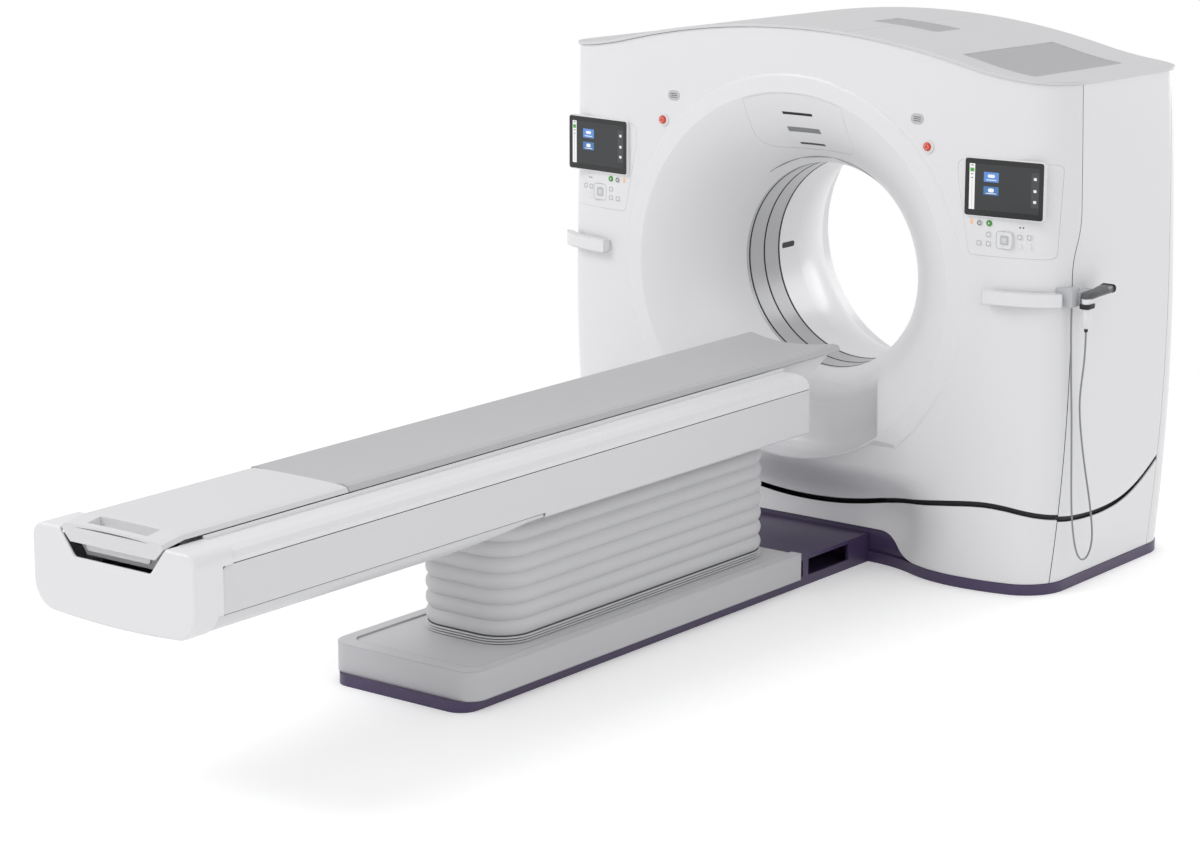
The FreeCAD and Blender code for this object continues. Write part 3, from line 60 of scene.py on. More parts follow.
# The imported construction, with every piece in its place, in metres.
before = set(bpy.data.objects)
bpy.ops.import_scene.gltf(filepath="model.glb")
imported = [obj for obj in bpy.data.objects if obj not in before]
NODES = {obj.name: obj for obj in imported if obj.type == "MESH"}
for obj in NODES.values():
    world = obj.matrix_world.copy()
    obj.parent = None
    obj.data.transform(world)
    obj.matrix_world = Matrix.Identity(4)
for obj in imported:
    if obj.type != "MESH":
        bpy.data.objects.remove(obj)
CAD_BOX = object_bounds()

MM = 0.001
BELLOWS_LOW, BELLOWS_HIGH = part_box("bellows")

# All places and sizes below are in millimetres. Depths are along Y, which runs from table to gantry.

# The gantry's bore, the line over its throat, and the heights between which the hood's lower two slits lie.
ISOCENTRE_UP = 1100
BORE_RADIUS = 400
THROAT_LINE = {"inner": 428, "outer": 430, "start": 54, "end": 126, "steps": 48}
MIDDLE_SLIT_UP = (1630, 1660)
LOWEST_SLIT_UP = (1575, 1595)
# Half the section of a seal's lip: how far each corner lies beyond the bore's wall and past the groove.
SEAL_LIP = ((-0.7, 1.2), (0.4, 2.0), (1.5, -0.5))

# Gaps between covers: how far from the middle they start, and the depths or heights between which they lie.
# Cover faces that look into them get painted shade.
GANTRY_SEAM_ACROSS = 1000
GANTRY_SEAM_DEPTH = (-292, -232)
TABLE_SEAM_ACROSS = 320
TABLE_TOP_SEAM_UP = (764, 770)
TABLE_FOOT_SEAM_UP = (612, 620)
TABLE_TAIL_SEAM_DEPTH = (-3912, -3820)

# The back of the recess behind the release handle: its depth, and its corners across and up.
TAIL_RECESS_DEPTH = -3932
TAIL_RECESS = ((-222, 812), (-161, 735), (161, 735), (222, 812))

# Places on the right keypad and the right stop, across and up; the left ones are their mirror image.
RING_KEY = (826, 1388)
GREEN_KEY = (863, 1389)
CENTRE_PAD = (923, 1331)
RINGED_KEYS = ((862, 1348), (825, 1314), (862, 1314), (978, 1346), (1012, 1346))
STATUS_LAMP = (793, 1390)
PANEL_DOTS = ((978, 1381), (990, 1381))
STOP = (601, 1646)

# Printed areas: half width, half height and corner radius.
LAMP_SIZE = (6, 10, 2)
PANEL_DOT_SIZE = (3, 3, 3)
RING_KEY_DOT_SIZE = (2.4, 2.4, 2.4)
GREEN_KEY_DOT_SIZE = (3.2, 3.2, 3.2)
PAD_SQUARE_SIZE = (10, 10, 2.5)
# Printed rings: half width and corner radius, of the outer and then of the inner edge.
SMALL_KEY_RING = ((8.2, 3.0), (6.6, 2.0))
PAD_RING = ((32.5, 13.5), (31.3, 12.3))
RING_KEY_RING = ((8.8, 8.8), (5.8, 5.8))
# The tick on the centre pad, from its middle.
PAD_TICK = ((-5, 0.5), (-1.5, -3), (5.5, 4), (4, 5.5), (-1.5, 0), (-3.5, 2))

# The twist arrows on a stop: where each bar starts and how far it goes, in degrees, its radii, and its tip's
# corners as degrees past the bar's end and radius. Inside the well radius the collar is black.
ARROW_STARTS = (90, 210, 330)
ARROW_SWEEP = 70
ARROW_BAR = {"inner": 7.2, "outer": 9.0, "steps": 8}
ARROW_TIP = ((0, 5.8), (0, 10.4), (30, 8.1))
STOP_WELL_RADIUS = 19

# What a display shows: each layer's name, colour, height above the glass, and areas. An area has its left,
# upper, right and lower edge as shares of the glass, and its corner radius.
SCREEN_LAYERS = (
    ("background", "#2a2c2e", 0.15, ((0.055, 0.09, 0.945, 0.895, 1.0),)),
    ("bar", "#f2f2f2", 0.30, ((0.055, 0.09, 0.125, 0.895, 0.5),)),
    ("bar_line", "#a9acae", 0.45, ((0.088, 0.37, 0.093, 0.87, 0.3),)),
    ("green_mark", "#58b04a", 0.45, ((0.064, 0.165, 0.116, 0.235, 2.0),)),
    ("small_marks", "#3a3c3e", 0.60, (
        (0.075, 0.112, 0.105, 0.128, 0.8), (0.083, 0.19, 0.097, 0.21, 1.0),
        (0.075, 0.268, 0.105, 0.282, 0.8), (0.075, 0.333, 0.105, 0.347, 0.8))),
    ("upper_tile", "#5b8dd6", 0.30, ((0.24, 0.222, 0.43, 0.395, 2.0),)),
    ("lower_tile", "#4278b0", 0.30, ((0.24, 0.473, 0.43, 0.622, 2.0),)),
    ("tile_signs", "#eef2f6", 0.45, (
        (0.29, 0.262, 0.38, 0.318, 5.0), (0.27, 0.352, 0.40, 0.366, 0.8),
        (0.298, 0.505, 0.372, 0.573, 6.0), (0.27, 0.588, 0.40, 0.600, 0.6))),
    ("side_strip", "#3d4043", 0.30, ((0.845, 0.173, 0.942, 0.78, 1.5),)),
    ("strip_signs", "#e8e8ea", 0.45, (
        (0.874, 0.255, 0.913, 0.305, 3.0), (0.874, 0.465, 0.913, 0.515, 3.0),
        (0.874, 0.655, 0.913, 0.705, 3.0))),
)

# The hand scanner. Sections of the upright parts, from below: height, depth, half width, half depth, corner
# radius. Sections of the level parts, from their front end: depth, height, half width, half height, corner
# radius.
SCANNER_ACROSS = 1200
SCANNER_GRIP = (
    (1021, -297, 10, 11, 8), (1026, -297, 13, 15, 10), (1060, -297, 14, 18, 11), (1100, -295, 15, 22, 12),
    (1128, -288, 17, 28, 13), (1137, -284, 15, 26, 12))
SCANNER_COLLAR = (
    (1094, -295, 18, 25, 8), (1096, -295, 20, 27, 8), (1110, -293, 20, 27, 8), (1112, -293, 18, 25, 8))
SCANNER_FOOT = ((1008, -297, 6, 6, 5.9), (1014, -297, 7, 7, 6.9), (1024, -297, 7.5, 7.5, 7.4))
SCANNER_HEAD = (
    (-316, 1136, 9, 5, 4.9), (-308, 1137, 17, 9, 8.9), (-290, 1139, 22, 12, 11), (-240, 1142, 24, 12, 11),
    (-190, 1145, 27, 13, 11), (-150, 1147, 29, 14, 11))
SCANNER_NOSE = ((-151, 1147, 30, 15, 11), (-140, 1148, 30, 15, 11), (-133, 1148, 27, 12, 9))

# The scanner cord's route, from the grip of the hand scanner to the bracket on the cover.
CORD_ROUTE_MM = (
    (1200, -297, 1008), (1200, -297, 920), (1186, -290, 830), (1168, -270, 742), (1160, -245, 650),
    (1159, -220, 555), (1159, -190, 455), (1159, -158, 360), (1159, -134, 270), (1159, -122, 205),
    (1159, -132, 155), (1159, -163, 125), (1159, -202, 126), (1159, -236, 158), (1159, -261, 215),
    (1159, -281, 300), (1159, -291, 395), (1158, -295, 495), (1156, -297, 600), (1154, -300, 705),
    (1152, -307, 810), (1151, -312, 915), (1150, -318, 1015), (1150, -318, 1100),
)

# The studio, in metres: round the machine's middle the floor starts to glow at the near radius and is white
# past the far one. Each lamp has its name, place, aim, width and watts.
FLOOR_MIDDLE_SHIFT = (0, 1.8, 0)
FLOOR_GLOW_RADII = (2.2, 5.0)
FLOOR_LIFT = 0.22
WORLD_LIGHT = 0.72
LAMPS = (
    ("key", (-3.5, -6.5, 6.5), (0, -1.5, 0.8), 4.0, 170.0),
    ("fill", (6.5, -5.0, 4.0), (0.5, -1.0, 0.9), 5.0, 40.0),
    ("back", (1.6, 5.5, 2.6), (0, 0, 1.1), 3.0, 90.0),
)

# Colours of silicone and of ink on it.
SILICONE = {
    "louvre grey": "#8c8d90", "dark grey": "#4a4b4e", "seam grey": "#9b9c9f", "mid grey": "#c8c8ca",
    "print grey": "#9a9b9d", "black": "#2a2a2d", "white": "#ededef", "green": "#4c9a3f", "grey": "#c4c5c7",
    "pale grey": "#dadbdd", "pale red": "#e9c3bd", "holder grey": "#c4c5c8",
}


# ---- colour, nodes and meshes ----
def linear(value):
    """An sRGB hex value as linear red, green, blue and alpha."""
    channels = [int(value[i:i + 2], 16) / 255 for i in (1, 3, 5)]
    return tuple(c / 12.92 if c <= 0.04045 else ((c + 0.055) / 1.055) ** 2.4 for c in channels) + (1.0,)


def add_node(tree, kind, inputs=None, links=None, **settings):
    """Adds a shader node with its settings, its input values and the sockets that feed it."""
    node = tree.nodes.new(kind)
    for key, value in settings.items():
        setattr(node, key, value)
    for key, value in (inputs or {}).items():
        node.inputs[key].default_value = value
    for key, source in (links or {}).items():
        tree.links.new(source, node.inputs[key])
    return node


def new_material(name):
    """An empty node material, its tree and its output."""
    material = bpy.data.materials.new(name)
    material.use_nodes = True
    tree = material.node_tree
    tree.nodes.clear()
    output = add_node(tree, "ShaderNodeOutputMaterial")
    return material, tree, output


def moulded(name, colour, roughness, grain_mm, depth_mm, variation=0.015, coat=0.0, metallic=0.0,
            edge_mm=1.2, sheen=0.0):
    """A solid-coloured finish: faint cloudiness in colour and gloss, and a surface grain of a real size."""
    if name in bpy.data.materials:
        return bpy.data.materials[name]
    material, tree, output = new_material(name)
    place = add_node(tree, "ShaderNodeTexCoord").outputs["Object"]
    cloud = add_node(tree, "ShaderNodeTexNoise", {"Scale": 3.0, "Detail": 2.0}, {"Vector": place})
    base = linear(colour)
    darker = tuple(c * (1 - 2 * variation) for c in base[:3]) + (1.0,)
    tint = add_node(tree, "ShaderNodeMix", {"A": darker, "B": base}, {"Factor": cloud.outputs["Fac"]},
                    data_type="RGBA")
    gloss = add_node(tree, "ShaderNodeMapRange", {"To Min": roughness * 0.93, "To Max": roughness * 1.07},
                     {"Value": cloud.outputs["Fac"]})
    grain = add_node(tree, "ShaderNodeTexNoise", {"Scale": 1 / (grain_mm * MM), "Detail": 1.0},
                     {"Vector": place})
    edge = add_node(tree, "ShaderNodeBevel", {"Radius": edge_mm * MM}, samples=4)
    bump = add_node(tree, "ShaderNodeBump", {"Strength": 0.5, "Distance": depth_mm * MM},
                    {"Height": grain.outputs["Fac"], "Normal": edge.outputs["Normal"]})
    shader = add_node(tree, "ShaderNodeBsdfPrincipled",
                      {"Metallic": metallic, "IOR": 1.5, "Coat Weight": coat, "Coat Roughness": 0.12,
                       "Sheen Weight": sheen},
                      {"Base Color": tint.outputs[2], "Roughness": gloss.outputs["Result"],
                       "Normal": bump.outputs["Normal"]})
    tree.links.new(shader.outputs["BSDF"], output.inputs["Surface"])
    return material


def white_enamel():
    """Sprayed polyurethane enamel on a moulded cover: bright, satin, with a faint orange peel 3 mm across."""
    return moulded("Satin white enamel on moulded polyurethane", "#ececee", 0.34, 3.0, 0.02, 0.006, coat=0.15)


def bar_enamel():
    """The covers' enamel on the grab bars, a little glossier and with softly rounded edges."""
    return moulded("Satin white enamel on rounded grab bars", "#ececee", 0.3, 3.0, 0.02, 0.006, coat=0.15,
                   edge_mm=9.0)


def pale_grey_abs():
    """Spark-textured ABS: pale grey and matt, with a grain of half a millimetre, drawn at 1 mm to show."""
    return moulded("Spark-textured pale grey ABS", "#dcdcde", 0.5, 1.0, 0.02, 0.01)


def lit_top_abs():
    """The same textured ABS a shade lighter as painted light, on top of the table's base, with a softly
    rounded rim.
    """
    return moulded("Spark-textured ABS lightened with painted top light", "#d6d6d8", 0.5, 1.0, 0.02, 0.01, edge_mm=9.0)


def tail_abs():
    """The same textured ABS in off-white, on the lid at the table's tail."""
    return moulded("Spark-textured off-white ABS", "#e2e2e4", 0.5, 1.0, 0.02, 0.01)


def shaded_panel_enamel():
    """The covers' enamel in a slightly greyer white as painted shade, on the table's side panels and belly,
    which face away from the light.
    """
    return moulded("Satin white enamel greyed with painted side shade", "#dedee1", 0.34, 3.0, 0.02, 0.006,
                   coat=0.15)


def seam_shadow():
    """Painted shade: dark grey on the edges of mouldings inside the gaps between them, standing in for the
    gaps' shadow.
    """
    return moulded("Dark grey painted shade in cover gaps", "#3c3d40", 0.7, 1.0, 0.01, 0.02, edge_mm=0.3)


def shaded_side_abs():
    """The same textured ABS in a mid grey as painted shade, on the sides of the table's base."""
    return moulded("Spark-textured ABS greyed with painted side shade", "#c6c6c9", 0.5, 1.0, 0.02, 0.01, edge_mm=9.0)


def plum_powder_coat():
    """Powder coat on sheet steel: dark plum, half matt, with a pebbled skin 1.5 mm across."""
    return moulded("Dark plum powder coat on steel", "#473a5c", 0.38, 1.5, 0.03, 0.03, coat=0.05)


def black_abs():
    """Black ABS, fine textured: the reveal between the covers, the slits and the stops' wells."""
    return moulded("Fine-textured black ABS", "#1c1b20", 0.55, 0.8, 0.02, 0.02)


def black_rubber():
    """Extruded EPDM rubber: nearly black and matt, in the grooves of the scan window."""
    return moulded("Black extruded EPDM rubber", "#151517", 0.7, 0.8, 0.01, 0.02, edge_mm=0.4)


def liner_polycarbonate():
    """Polycarbonate scan window: mid grey, smooth, with a soft gloss along the bore."""
    return moulded("Grey polycarbonate scan window", "#b2b2b5", 0.32, 4.0, 0.01, 0.01, coat=0.2)


def cradle_composite():
    """Painted carbon-fibre board: matt mid grey, with the fine pebble of a textured lacquer, 1.2 mm."""
    return moulded("Textured grey lacquer on carbon composite", "#c4c4c6", 0.55, 1.2, 0.03, 0.015)


def bellows_cloth():
    """Polyurethane-coated polyester: pale grey, matt with a soft sheen, woven 1.2 mm apart."""
    return moulded("Polyurethane-coated polyester bellows cloth", "#d4d4d6", 0.62, 1.2, 0.04, 0.02,
                   sheen=0.15, edge_mm=0.5)


def valley_shade_cloth():
    """The same cloth in dark grey where closed folds touch: painted shade, since little light reaches it."""
    return moulded("Bellows cloth in the closed folds' valleys", "#5d5e61", 0.7, 1.2, 0.04, 0.02, edge_mm=0.3)


def painted_steel():
    """Grey painted structural steel."""
    return moulded("Grey painted structural steel", "#8d9094", 0.5, 2.0, 0.03, 0.03)


def machined_aluminium():
    """Machined aluminium: silver, with a fine tool texture."""
    return moulded("Machined aluminium", "#c3c5c8", 0.35, 0.8, 0.01, 0.02, metallic=1.0)


def brass_track():
    """Rolled brass: the contact rings of the slip ring."""
    return moulded("Rolled brass contact track", "#c8a24a", 0.3, 0.8, 0.01, 0.02, metallic=1.0)


def silicone(name):
    """Moulded silicone rubber, matt and slightly soft-looking, in one of the listed colours."""
    return moulded("Moulded silicone, " + name, SILICONE[name], 0.5, 0.8, 0.01, 0.01, edge_mm=0.6)


def red_polycarbonate():
    """Moulded red polycarbonate with a soft gloss."""
    return moulded("Red moulded polycarbonate", "#dc4630", 0.3, 1.5, 0.01, 0.01, coat=0.2)


def scanner_abs():
    """Moulded ABS: dark grey, half matt, on the hand scanner's head."""
    return moulded("Dark grey moulded ABS", "#58595c", 0.4, 0.8, 0.02, 0.02)


def cord_jacket():
    """PVC cord jacket: mid grey, smooth and a little shiny."""
    return moulded("Grey PVC cord jacket", "#8f9092", 0.4, 1.0, 0.01, 0.02, edge_mm=0.2)


def black_glass():
    """Chemically hardened display glass with black print behind: a mirror-smooth black face."""
    return moulded("Black-printed hardened glass", "#0d0e10", 0.06, 6.0, 0.0, 0.0, coat=0.3, edge_mm=0.5)


def lit(name, colour, strength=1.0):
    """A lit area of a display or lamp: its own light, behind glass."""
    if name in bpy.data.materials:
        return bpy.data.materials[name]
    material, tree, output = new_material(name)
    shader = add_node(tree, "ShaderNodeBsdfPrincipled",
                      {"Base Color": (0.01, 0.01, 0.01, 1), "Roughness": 0.1,
                       "Emission Color": linear(colour), "Emission Strength": strength})
    tree.links.new(shader.outputs["BSDF"], output.inputs["Surface"])
    return material


def perforated_grille():
    """Perforated ABS: pale grey, with holes 3 mm across on a 5 mm grid, drawn as dimples in a dark grey that
    is painted shade.
    """
    name = "Perforated grey ABS grille"
    if name in bpy.data.materials:
        return bpy.data.materials[name]
    pitch = 5.0 * MM
    material, tree, output = new_material(name)
    place = add_node(tree, "ShaderNodeTexCoord").outputs["Object"]
    turned = add_node(tree, "ShaderNodeMapping", {"Rotation": (0, 0, math.radians(45)),
                                                  "Scale": (2 * math.pi / pitch,) * 3}, {"Vector": place})
    axes = add_node(tree, "ShaderNodeSeparateXYZ", links={"Vector": turned.outputs["Vector"]})
    wave_x = add_node(tree, "ShaderNodeMath", links={0: axes.outputs["X"]}, operation="COSINE")
    wave_y = add_node(tree, "ShaderNodeMath", links={0: axes.outputs["Y"]}, operation="COSINE")
    both = add_node(tree, "ShaderNodeMath", links={0: wave_x.outputs[0], 1: wave_y.outputs[0]},
                    operation="ADD")
    hole = add_node(tree, "ShaderNodeMapRange", {"From Min": 0.5, "From Max": 0.9},
                    {"Value": both.outputs[0]}, interpolation_type="SMOOTHSTEP")
    # The holes' dark grey is painted shade for the dark behind them.
    tint = add_node(tree, "ShaderNodeMix", {"A": linear("#cbcbce"), "B": linear("#7c7c81")},
                    {"Factor": hole.outputs["Result"]}, data_type="RGBA")
    bump = add_node(tree, "ShaderNodeBump", {"Strength": 0.8, "Distance": 1.0 * MM},
                    {"Height": hole.outputs["Result"]}, invert=True)
    shader = add_node(tree, "ShaderNodeBsdfPrincipled", {"Roughness": 0.5},
                      {"Base Color": tint.outputs[2], "Normal": bump.outputs["Normal"]})
    tree.links.new(shader.outputs["BSDF"], output.inputs["Surface"])
    return material


def mesh_object(name, mesh, material, smooth=True):
    """Links a mesh as an object with one material."""
    piece = bpy.data.objects.new(name, mesh)
    bpy.context.scene.collection.objects.link(piece)
    piece.data.materials.append(material)
    if smooth:
        piece.data.shade_smooth()
    return piece


def dress(node, *materials, choose=None):
    """Gives a carried-over piece its finish; choose picks one of several from a face's middle and normal."""
    mesh = NODES[node].data
    mesh.materials.clear()
    for material in materials:
        mesh.materials.append(material)
    if choose is not None:
        for face in mesh.polygons:
            face.material_index = choose(face.center / MM, face.normal)


def surface(*nodes):
    """A function that gives the depth at which the front of some pieces stands at a place, in millimetres."""
    trees = []
    for node in nodes:
        mesh = NODES[node].data
        trees.append(BVHTree.FromPolygons([corner.co for corner in mesh.vertices],
                                          [tuple(face.vertices) for face in mesh.polygons]))

    def depth(x, z):
        start = Vector((x * MM, CAD_BOX[0][1], z * MM))
        hits = [tree.ray_cast(start, Vector((0, 1, 0)))[0] for tree in trees]
        return min(hit.y for hit in hits if hit is not None) / MM

    return depth


def polar(x, z, radius, angle):
    """The point at a radius and at an angle in degrees round another point."""
    return (x + radius * math.cos(math.radians(angle)), z + radius * math.sin(math.radians(angle)))


def mark(x, z, half_x, half_z, radius, steps=4):
    """Points round a mark: a rectangle with rounded corners, or a disc where the radius is half its width."""
    return [polar(x + side_x * (half_x - radius), z + side_z * (half_z - radius), radius,
                  start + 90 * step / steps)
            for side_x, side_z, start in ((1, -1, -90), (1, 1, 0), (-1, 1, 90), (-1, -1, 180))
            for step in range(steps + 1)]


def ring(x, z, edges, steps=4):
    """A square ring's outer and inner edge, from the half width and the corner radius of each."""
    return tuple(mark(x, z, half, half, radius, steps) for half, radius in edges)


def band(x, z, inner, outer, start, end, steps):
    """Points round part of a flat ring, between two angles in degrees."""
    angles = [start + (end - start) * step / steps for step in range(steps + 1)]
    out = [polar(x, z, outer, angle) for angle in angles]
    return out + [polar(x, z, inner, angle) for angle in reversed(angles)]


def inlay(name, depth, shapes, material, body, proud=0.3, sink=0.5):
    """Marks on a surface that faces the table, each given as its outline with a hole's outline or None.

    They are thin closed plates that follow the surface, stand proud of it and sink into it.
    """
    form = bmesh.new()
    for outer, hole in shapes:
        rings = []
        for loop in (outer, hole) if hole else (outer,):
            depths = [depth(x, z) for x, z in loop]
            for shift in (-proud, sink):
                rings.append([form.verts.new((x * MM, (y + shift) * MM, z * MM))
                              for (x, z), y in zip(loop, depths)])
        count = len(outer)
        if not hole:
            form.faces.new(rings[0])
            form.faces.new(rings[1][::-1])
        pairs = ((0, 1), (2, 3), (0, 2), (1, 3)) if hole else ((0, 1),)
        for first, second in pairs:
            for index in range(count):
                after = (index + 1) % count
                form.faces.new((rings[first][index], rings[first][after], rings[second][after],
                                rings[second][index]))
    bmesh.ops.remove_doubles(form, verts=form.verts, dist=0.001 * MM)
    bmesh.ops.recalc_face_normals(form, faces=form.faces)
    mesh = bpy.data.meshes.new(name)
    form.to_mesh(mesh)
    form.free()
    piece = mesh_object(name, mesh, material, smooth=False)
    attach(piece, body)


def within(value, limits):
    """Whether a value lies between two limits."""
    return limits[0] < value < limits[1]


def beside_seam(place, normal):
    """Whether a face of a gantry cover looks into the gap between the front and the side covers, to take
    painted shade.
    """
    facing = abs(normal.y) > 0.85
    return int(facing and abs(place.x) > GANTRY_SEAM_ACROSS and within(place.y, GANTRY_SEAM_DEPTH))


def beside_table_seam(place, normal):
    """Whether a face of a table cover looks into a gap along or across the beam, to take painted shade."""
    level = abs(normal.z) > 0.9
    along = level and (within(place.z, TABLE_TOP_SEAM_UP) or within(place.z, TABLE_FOOT_SEAM_UP))
    across = abs(normal.y) > 0.9 and within(place.y, TABLE_TAIL_SEAM_DEPTH)
    return int(abs(place.x) > TABLE_SEAM_ACROSS and (along or across))


def which_window(place, normal):
    """Which finish a face of the windows has: the middle slit's, the lowest slit's, or the other ones'."""
    return 1 if within(place.z, MIDDLE_SLIT_UP) else 2 if within(place.z, LOWEST_SLIT_UP) else 0


def in_stop_well(place, normal):
    """Whether a face of the stops' collars lies in the well round the button."""
    return int(math.hypot(abs(place.x) - STOP[0], place.z - STOP[1]) < STOP_WELL_RADIUS)


# ---- what a user sets ----
class BellowsSettings(bpy.types.PropertyGroup):
    """The bellows between the table base and the beam."""
    folds: bpy.props.IntProperty(name="Folds", description="Open folds above the stacked ones", default=8)
    stacked: bpy.props.IntProperty(name="Stacked folds", description="Closed folds at the foot", default=3)
    stacked_pitch: bpy.props.FloatProperty(name="Stacked pitch", description="Height of a closed fold",
                                           default=9 * MM, unit="LENGTH")
    depth: bpy.props.FloatProperty(name="Depth", description="How far a fold stands out of its valley",
                                   default=16 * MM, unit="LENGTH")
    corner: bpy.props.FloatProperty(name="Corner", description="Radius of the corners in plan",
                                    default=130 * MM, unit="LENGTH")


class CordSettings(bpy.types.PropertyGroup):
    """The hand scanner's cord."""
    diameter: bpy.props.FloatProperty(name="Diameter", description="Over the jacket", default=7 * MM,
                                      unit="LENGTH")
    length: bpy.props.FloatProperty(name="Length", description="Along the cord", default=1.95, unit="LENGTH")


class StudioSettings(bpy.types.PropertyGroup):
    """Camera, floor and lamps."""
    eye: bpy.props.FloatVectorProperty(name="Eye", description="Where the camera stands", size=3,
                                       default=(6.875, -10.477, 3.334), subtype="TRANSLATION")
    turn: bpy.props.FloatProperty(name="Turn", description="Camera's turn about the vertical",
                                  default=math.radians(37.80), subtype="ANGLE")
    dip: bpy.props.FloatProperty(name="Dip", description="How far the camera looks down",
                                 default=math.radians(13.12), subtype="ANGLE")
    lens: bpy.props.FloatProperty(name="Lens", description="Focal length in millimetres", default=97.58)
    floor: bpy.props.FloatProperty(name="Floor", description="Half the floor's side", default=60.0,
                                   unit="LENGTH")


# ---- operators ----
class CT_OT_covers(bpy.types.Operator):
    """Finishes the gantry's covers, plinth and bore"""
    bl_idname = "ct_scanner.covers"
    bl_label = "Gantry covers"

    def execute(self, context):
        for node in ("front_cover", "channel_panel", "rear_cover", "side_cover_left", "side_cover_right",
                     "front_skirt", "side_skirt_left", "side_skirt_right", "hood_panel"):
            # Cover faces that look into the seams take the dark grey painted shade.
            dress(node, white_enamel(), seam_shadow(), choose=beside_seam)
        dress("grab_handles", bar_enamel())
        dress("top_cover", pale_grey_abs())
        dress("top_grilles", perforated_grille())
        dress("gantry_plinth", plum_powder_coat())
        dress("reveal_band", black_abs())
        dress("bore_liner", liner_polycarbonate())
        dress("bore_seals", black_rubber())
        self.make_seal_lips()
        dress("sensor_windows", black_abs(), silicone("louvre grey"), silicone("dark grey"),
              choose=which_window)
        inlay("throat_seam_line", surface("front_cover", "hood_panel"),
              [(band(0, ISOCENTRE_UP, **THROAT_LINE), None)], silicone("seam grey"), "base",
              proud=0.2)
        return {"FINISHED"}

    def make_seal_lips(self):
        """The seals' lips: low rings that lie over both edges of each groove in the scan window."""
        form = bmesh.new()
        seals = NODES["bore_seals"].data.vertices
        edges = sorted({round(corner.co.y / MM) for corner in seals})
        steps = 144
        for near, far in zip(edges[::2], edges[1::2]):
            section = [(BORE_RADIUS + out, far + past) for out, past in SEAL_LIP]
            section += [(BORE_RADIUS + out, near - past) for out, past in reversed(SEAL_LIP)]
            rings = []
            for step in range(steps):
                places = [(polar(0, ISOCENTRE_UP, radius, 360 * step / steps), y) for radius, y in section]
                rings.append([form.verts.new((x * MM, y * MM, z * MM)) for (x, z), y in places])
            for step in range(steps):
                here, there = rings[step], rings[(step + 1) % steps]
                for index in range(len(section)):
                    after = (index + 1) % len(section)
                    form.faces.new((here[index], here[after], there[after], there[index]))
        bmesh.ops.recalc_face_normals(form, faces=form.faces)
        mesh = bpy.data.meshes.new("seal_lips")
        form.to_mesh(mesh)
        form.free()
        piece = mesh_object("seal_lips", mesh, black_rubber())
        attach(piece, "base")


class CT_OT_inside(bpy.types.Operator):
    """Finishes what stands and turns inside the gantry"""
    bl_idname = "ct_scanner.inside"
    bl_label = "Inside the gantry"

    def execute(self, context):
        for node in ("gantry_frame", "stator_ring", "drive_motor", "column_outer", "column_middle",
                     "xray_tube", "collimator", "hv_generator"):
            dress(node, painted_steel())
        for node in ("rotor_drum", "detector_arc", "main_bearing", "beam_frame"):
            dress(node, machined_aluminium())
        dress("slip_ring", brass_track())
        return {"FINISHED"}


class CT_OT_controls(bpy.types.Operator):
    """Finishes the displays, keypads, stops and speakers"""
    bl_idname = "ct_scanner.controls"
    bl_label = "Controls"

    def finish_keypad(self, side, name):
        """One keypad: its panel, its keys and what is printed on them."""
        for node, finish in (("keypad_", white_enamel()), ("ring_key_", silicone("white")),
                             ("green_key_", silicone("green")), ("centre_pad_", silicone("grey"))):
            dress(node + name, finish)
        panel = surface("keypad_" + name)
        pad_x, pad_z = side * CENTRE_PAD[0], CENTRE_PAD[1]
        rings = [ring(side * x, z, SMALL_KEY_RING) for x, z in RINGED_KEYS] + [ring(pad_x, pad_z, PAD_RING)]
        inlay("keypad_rings_" + name, panel, rings, silicone("print grey"), "base")
        x, z = side * STATUS_LAMP[0], STATUS_LAMP[1]
        inlay("keypad_lamp_" + name, panel, [(mark(x, z, *LAMP_SIZE), None)],
              lit("Pale orange lamp", "#f5c6a0", 0.9), "base")
        dots = [(mark(side * x, z, *PANEL_DOT_SIZE), None) for x, z in PANEL_DOTS]
        inlay("keypad_marks_" + name, panel, dots, silicone("black"), "base")
        x, z = side * RING_KEY[0], RING_KEY[1]
        cap, body = surface("ring_key_" + name), "ring_key_" + name + "_body"
        inlay("ring_key_ring_" + name, cap, [ring(x, z, RING_KEY_RING, 6)], silicone("black"), body)
        inlay("ring_key_dot_" + name, cap, [(mark(x, z, *RING_KEY_DOT_SIZE), None)], silicone("print grey"),
              body)
        x, z = side * GREEN_KEY[0], GREEN_KEY[1]
        inlay("green_key_dot_" + name, surface("green_key_" + name),
              [(mark(x, z, *GREEN_KEY_DOT_SIZE), None)], silicone("white"), "green_key_" + name + "_body")
        pad, body = surface("centre_pad_" + name), "centre_pad_" + name + "_body"
        inlay("centre_pad_square_" + name, pad, [(mark(pad_x, pad_z, *PAD_SQUARE_SIZE), None)],
              silicone("pale grey"), body)
        inlay("centre_pad_tick_" + name, pad, [([(pad_x + x, pad_z + z) for x, z in PAD_TICK], None)],
              silicone("white"), body, proud=0.6)

    def finish_stop(self, side, name):
        """One emergency stop's red button, with its three twist arrows."""
        dress("stop_button_" + name, red_polycarbonate())
        x, z = side * STOP[0], STOP[1]
        arrows = []
        for start in ARROW_STARTS:
            end = start + ARROW_SWEEP
            arrows.append((band(x, z, start=start, end=end, **ARROW_BAR), None))
            arrows.append(([polar(x, z, radius, end + turn) for turn, radius in ARROW_TIP], None))
        inlay("stop_arrows_" + name, surface("stop_button_" + name), arrows, silicone("pale red"),
              "stop_button_" + name + "_body")

    def execute(self, context):
        dress("display_housings", white_enamel())
        dress("display_glasses", black_glass())
        dress("stop_collars", white_enamel(), black_abs(), choose=in_stop_well)
        dress("speaker_grilles", silicone("mid grey"))
        for side, name in ((-1, "left"), (1, "right")):
            self.finish_keypad(side, name)
            self.finish_stop(side, name)
        return {"FINISHED"}


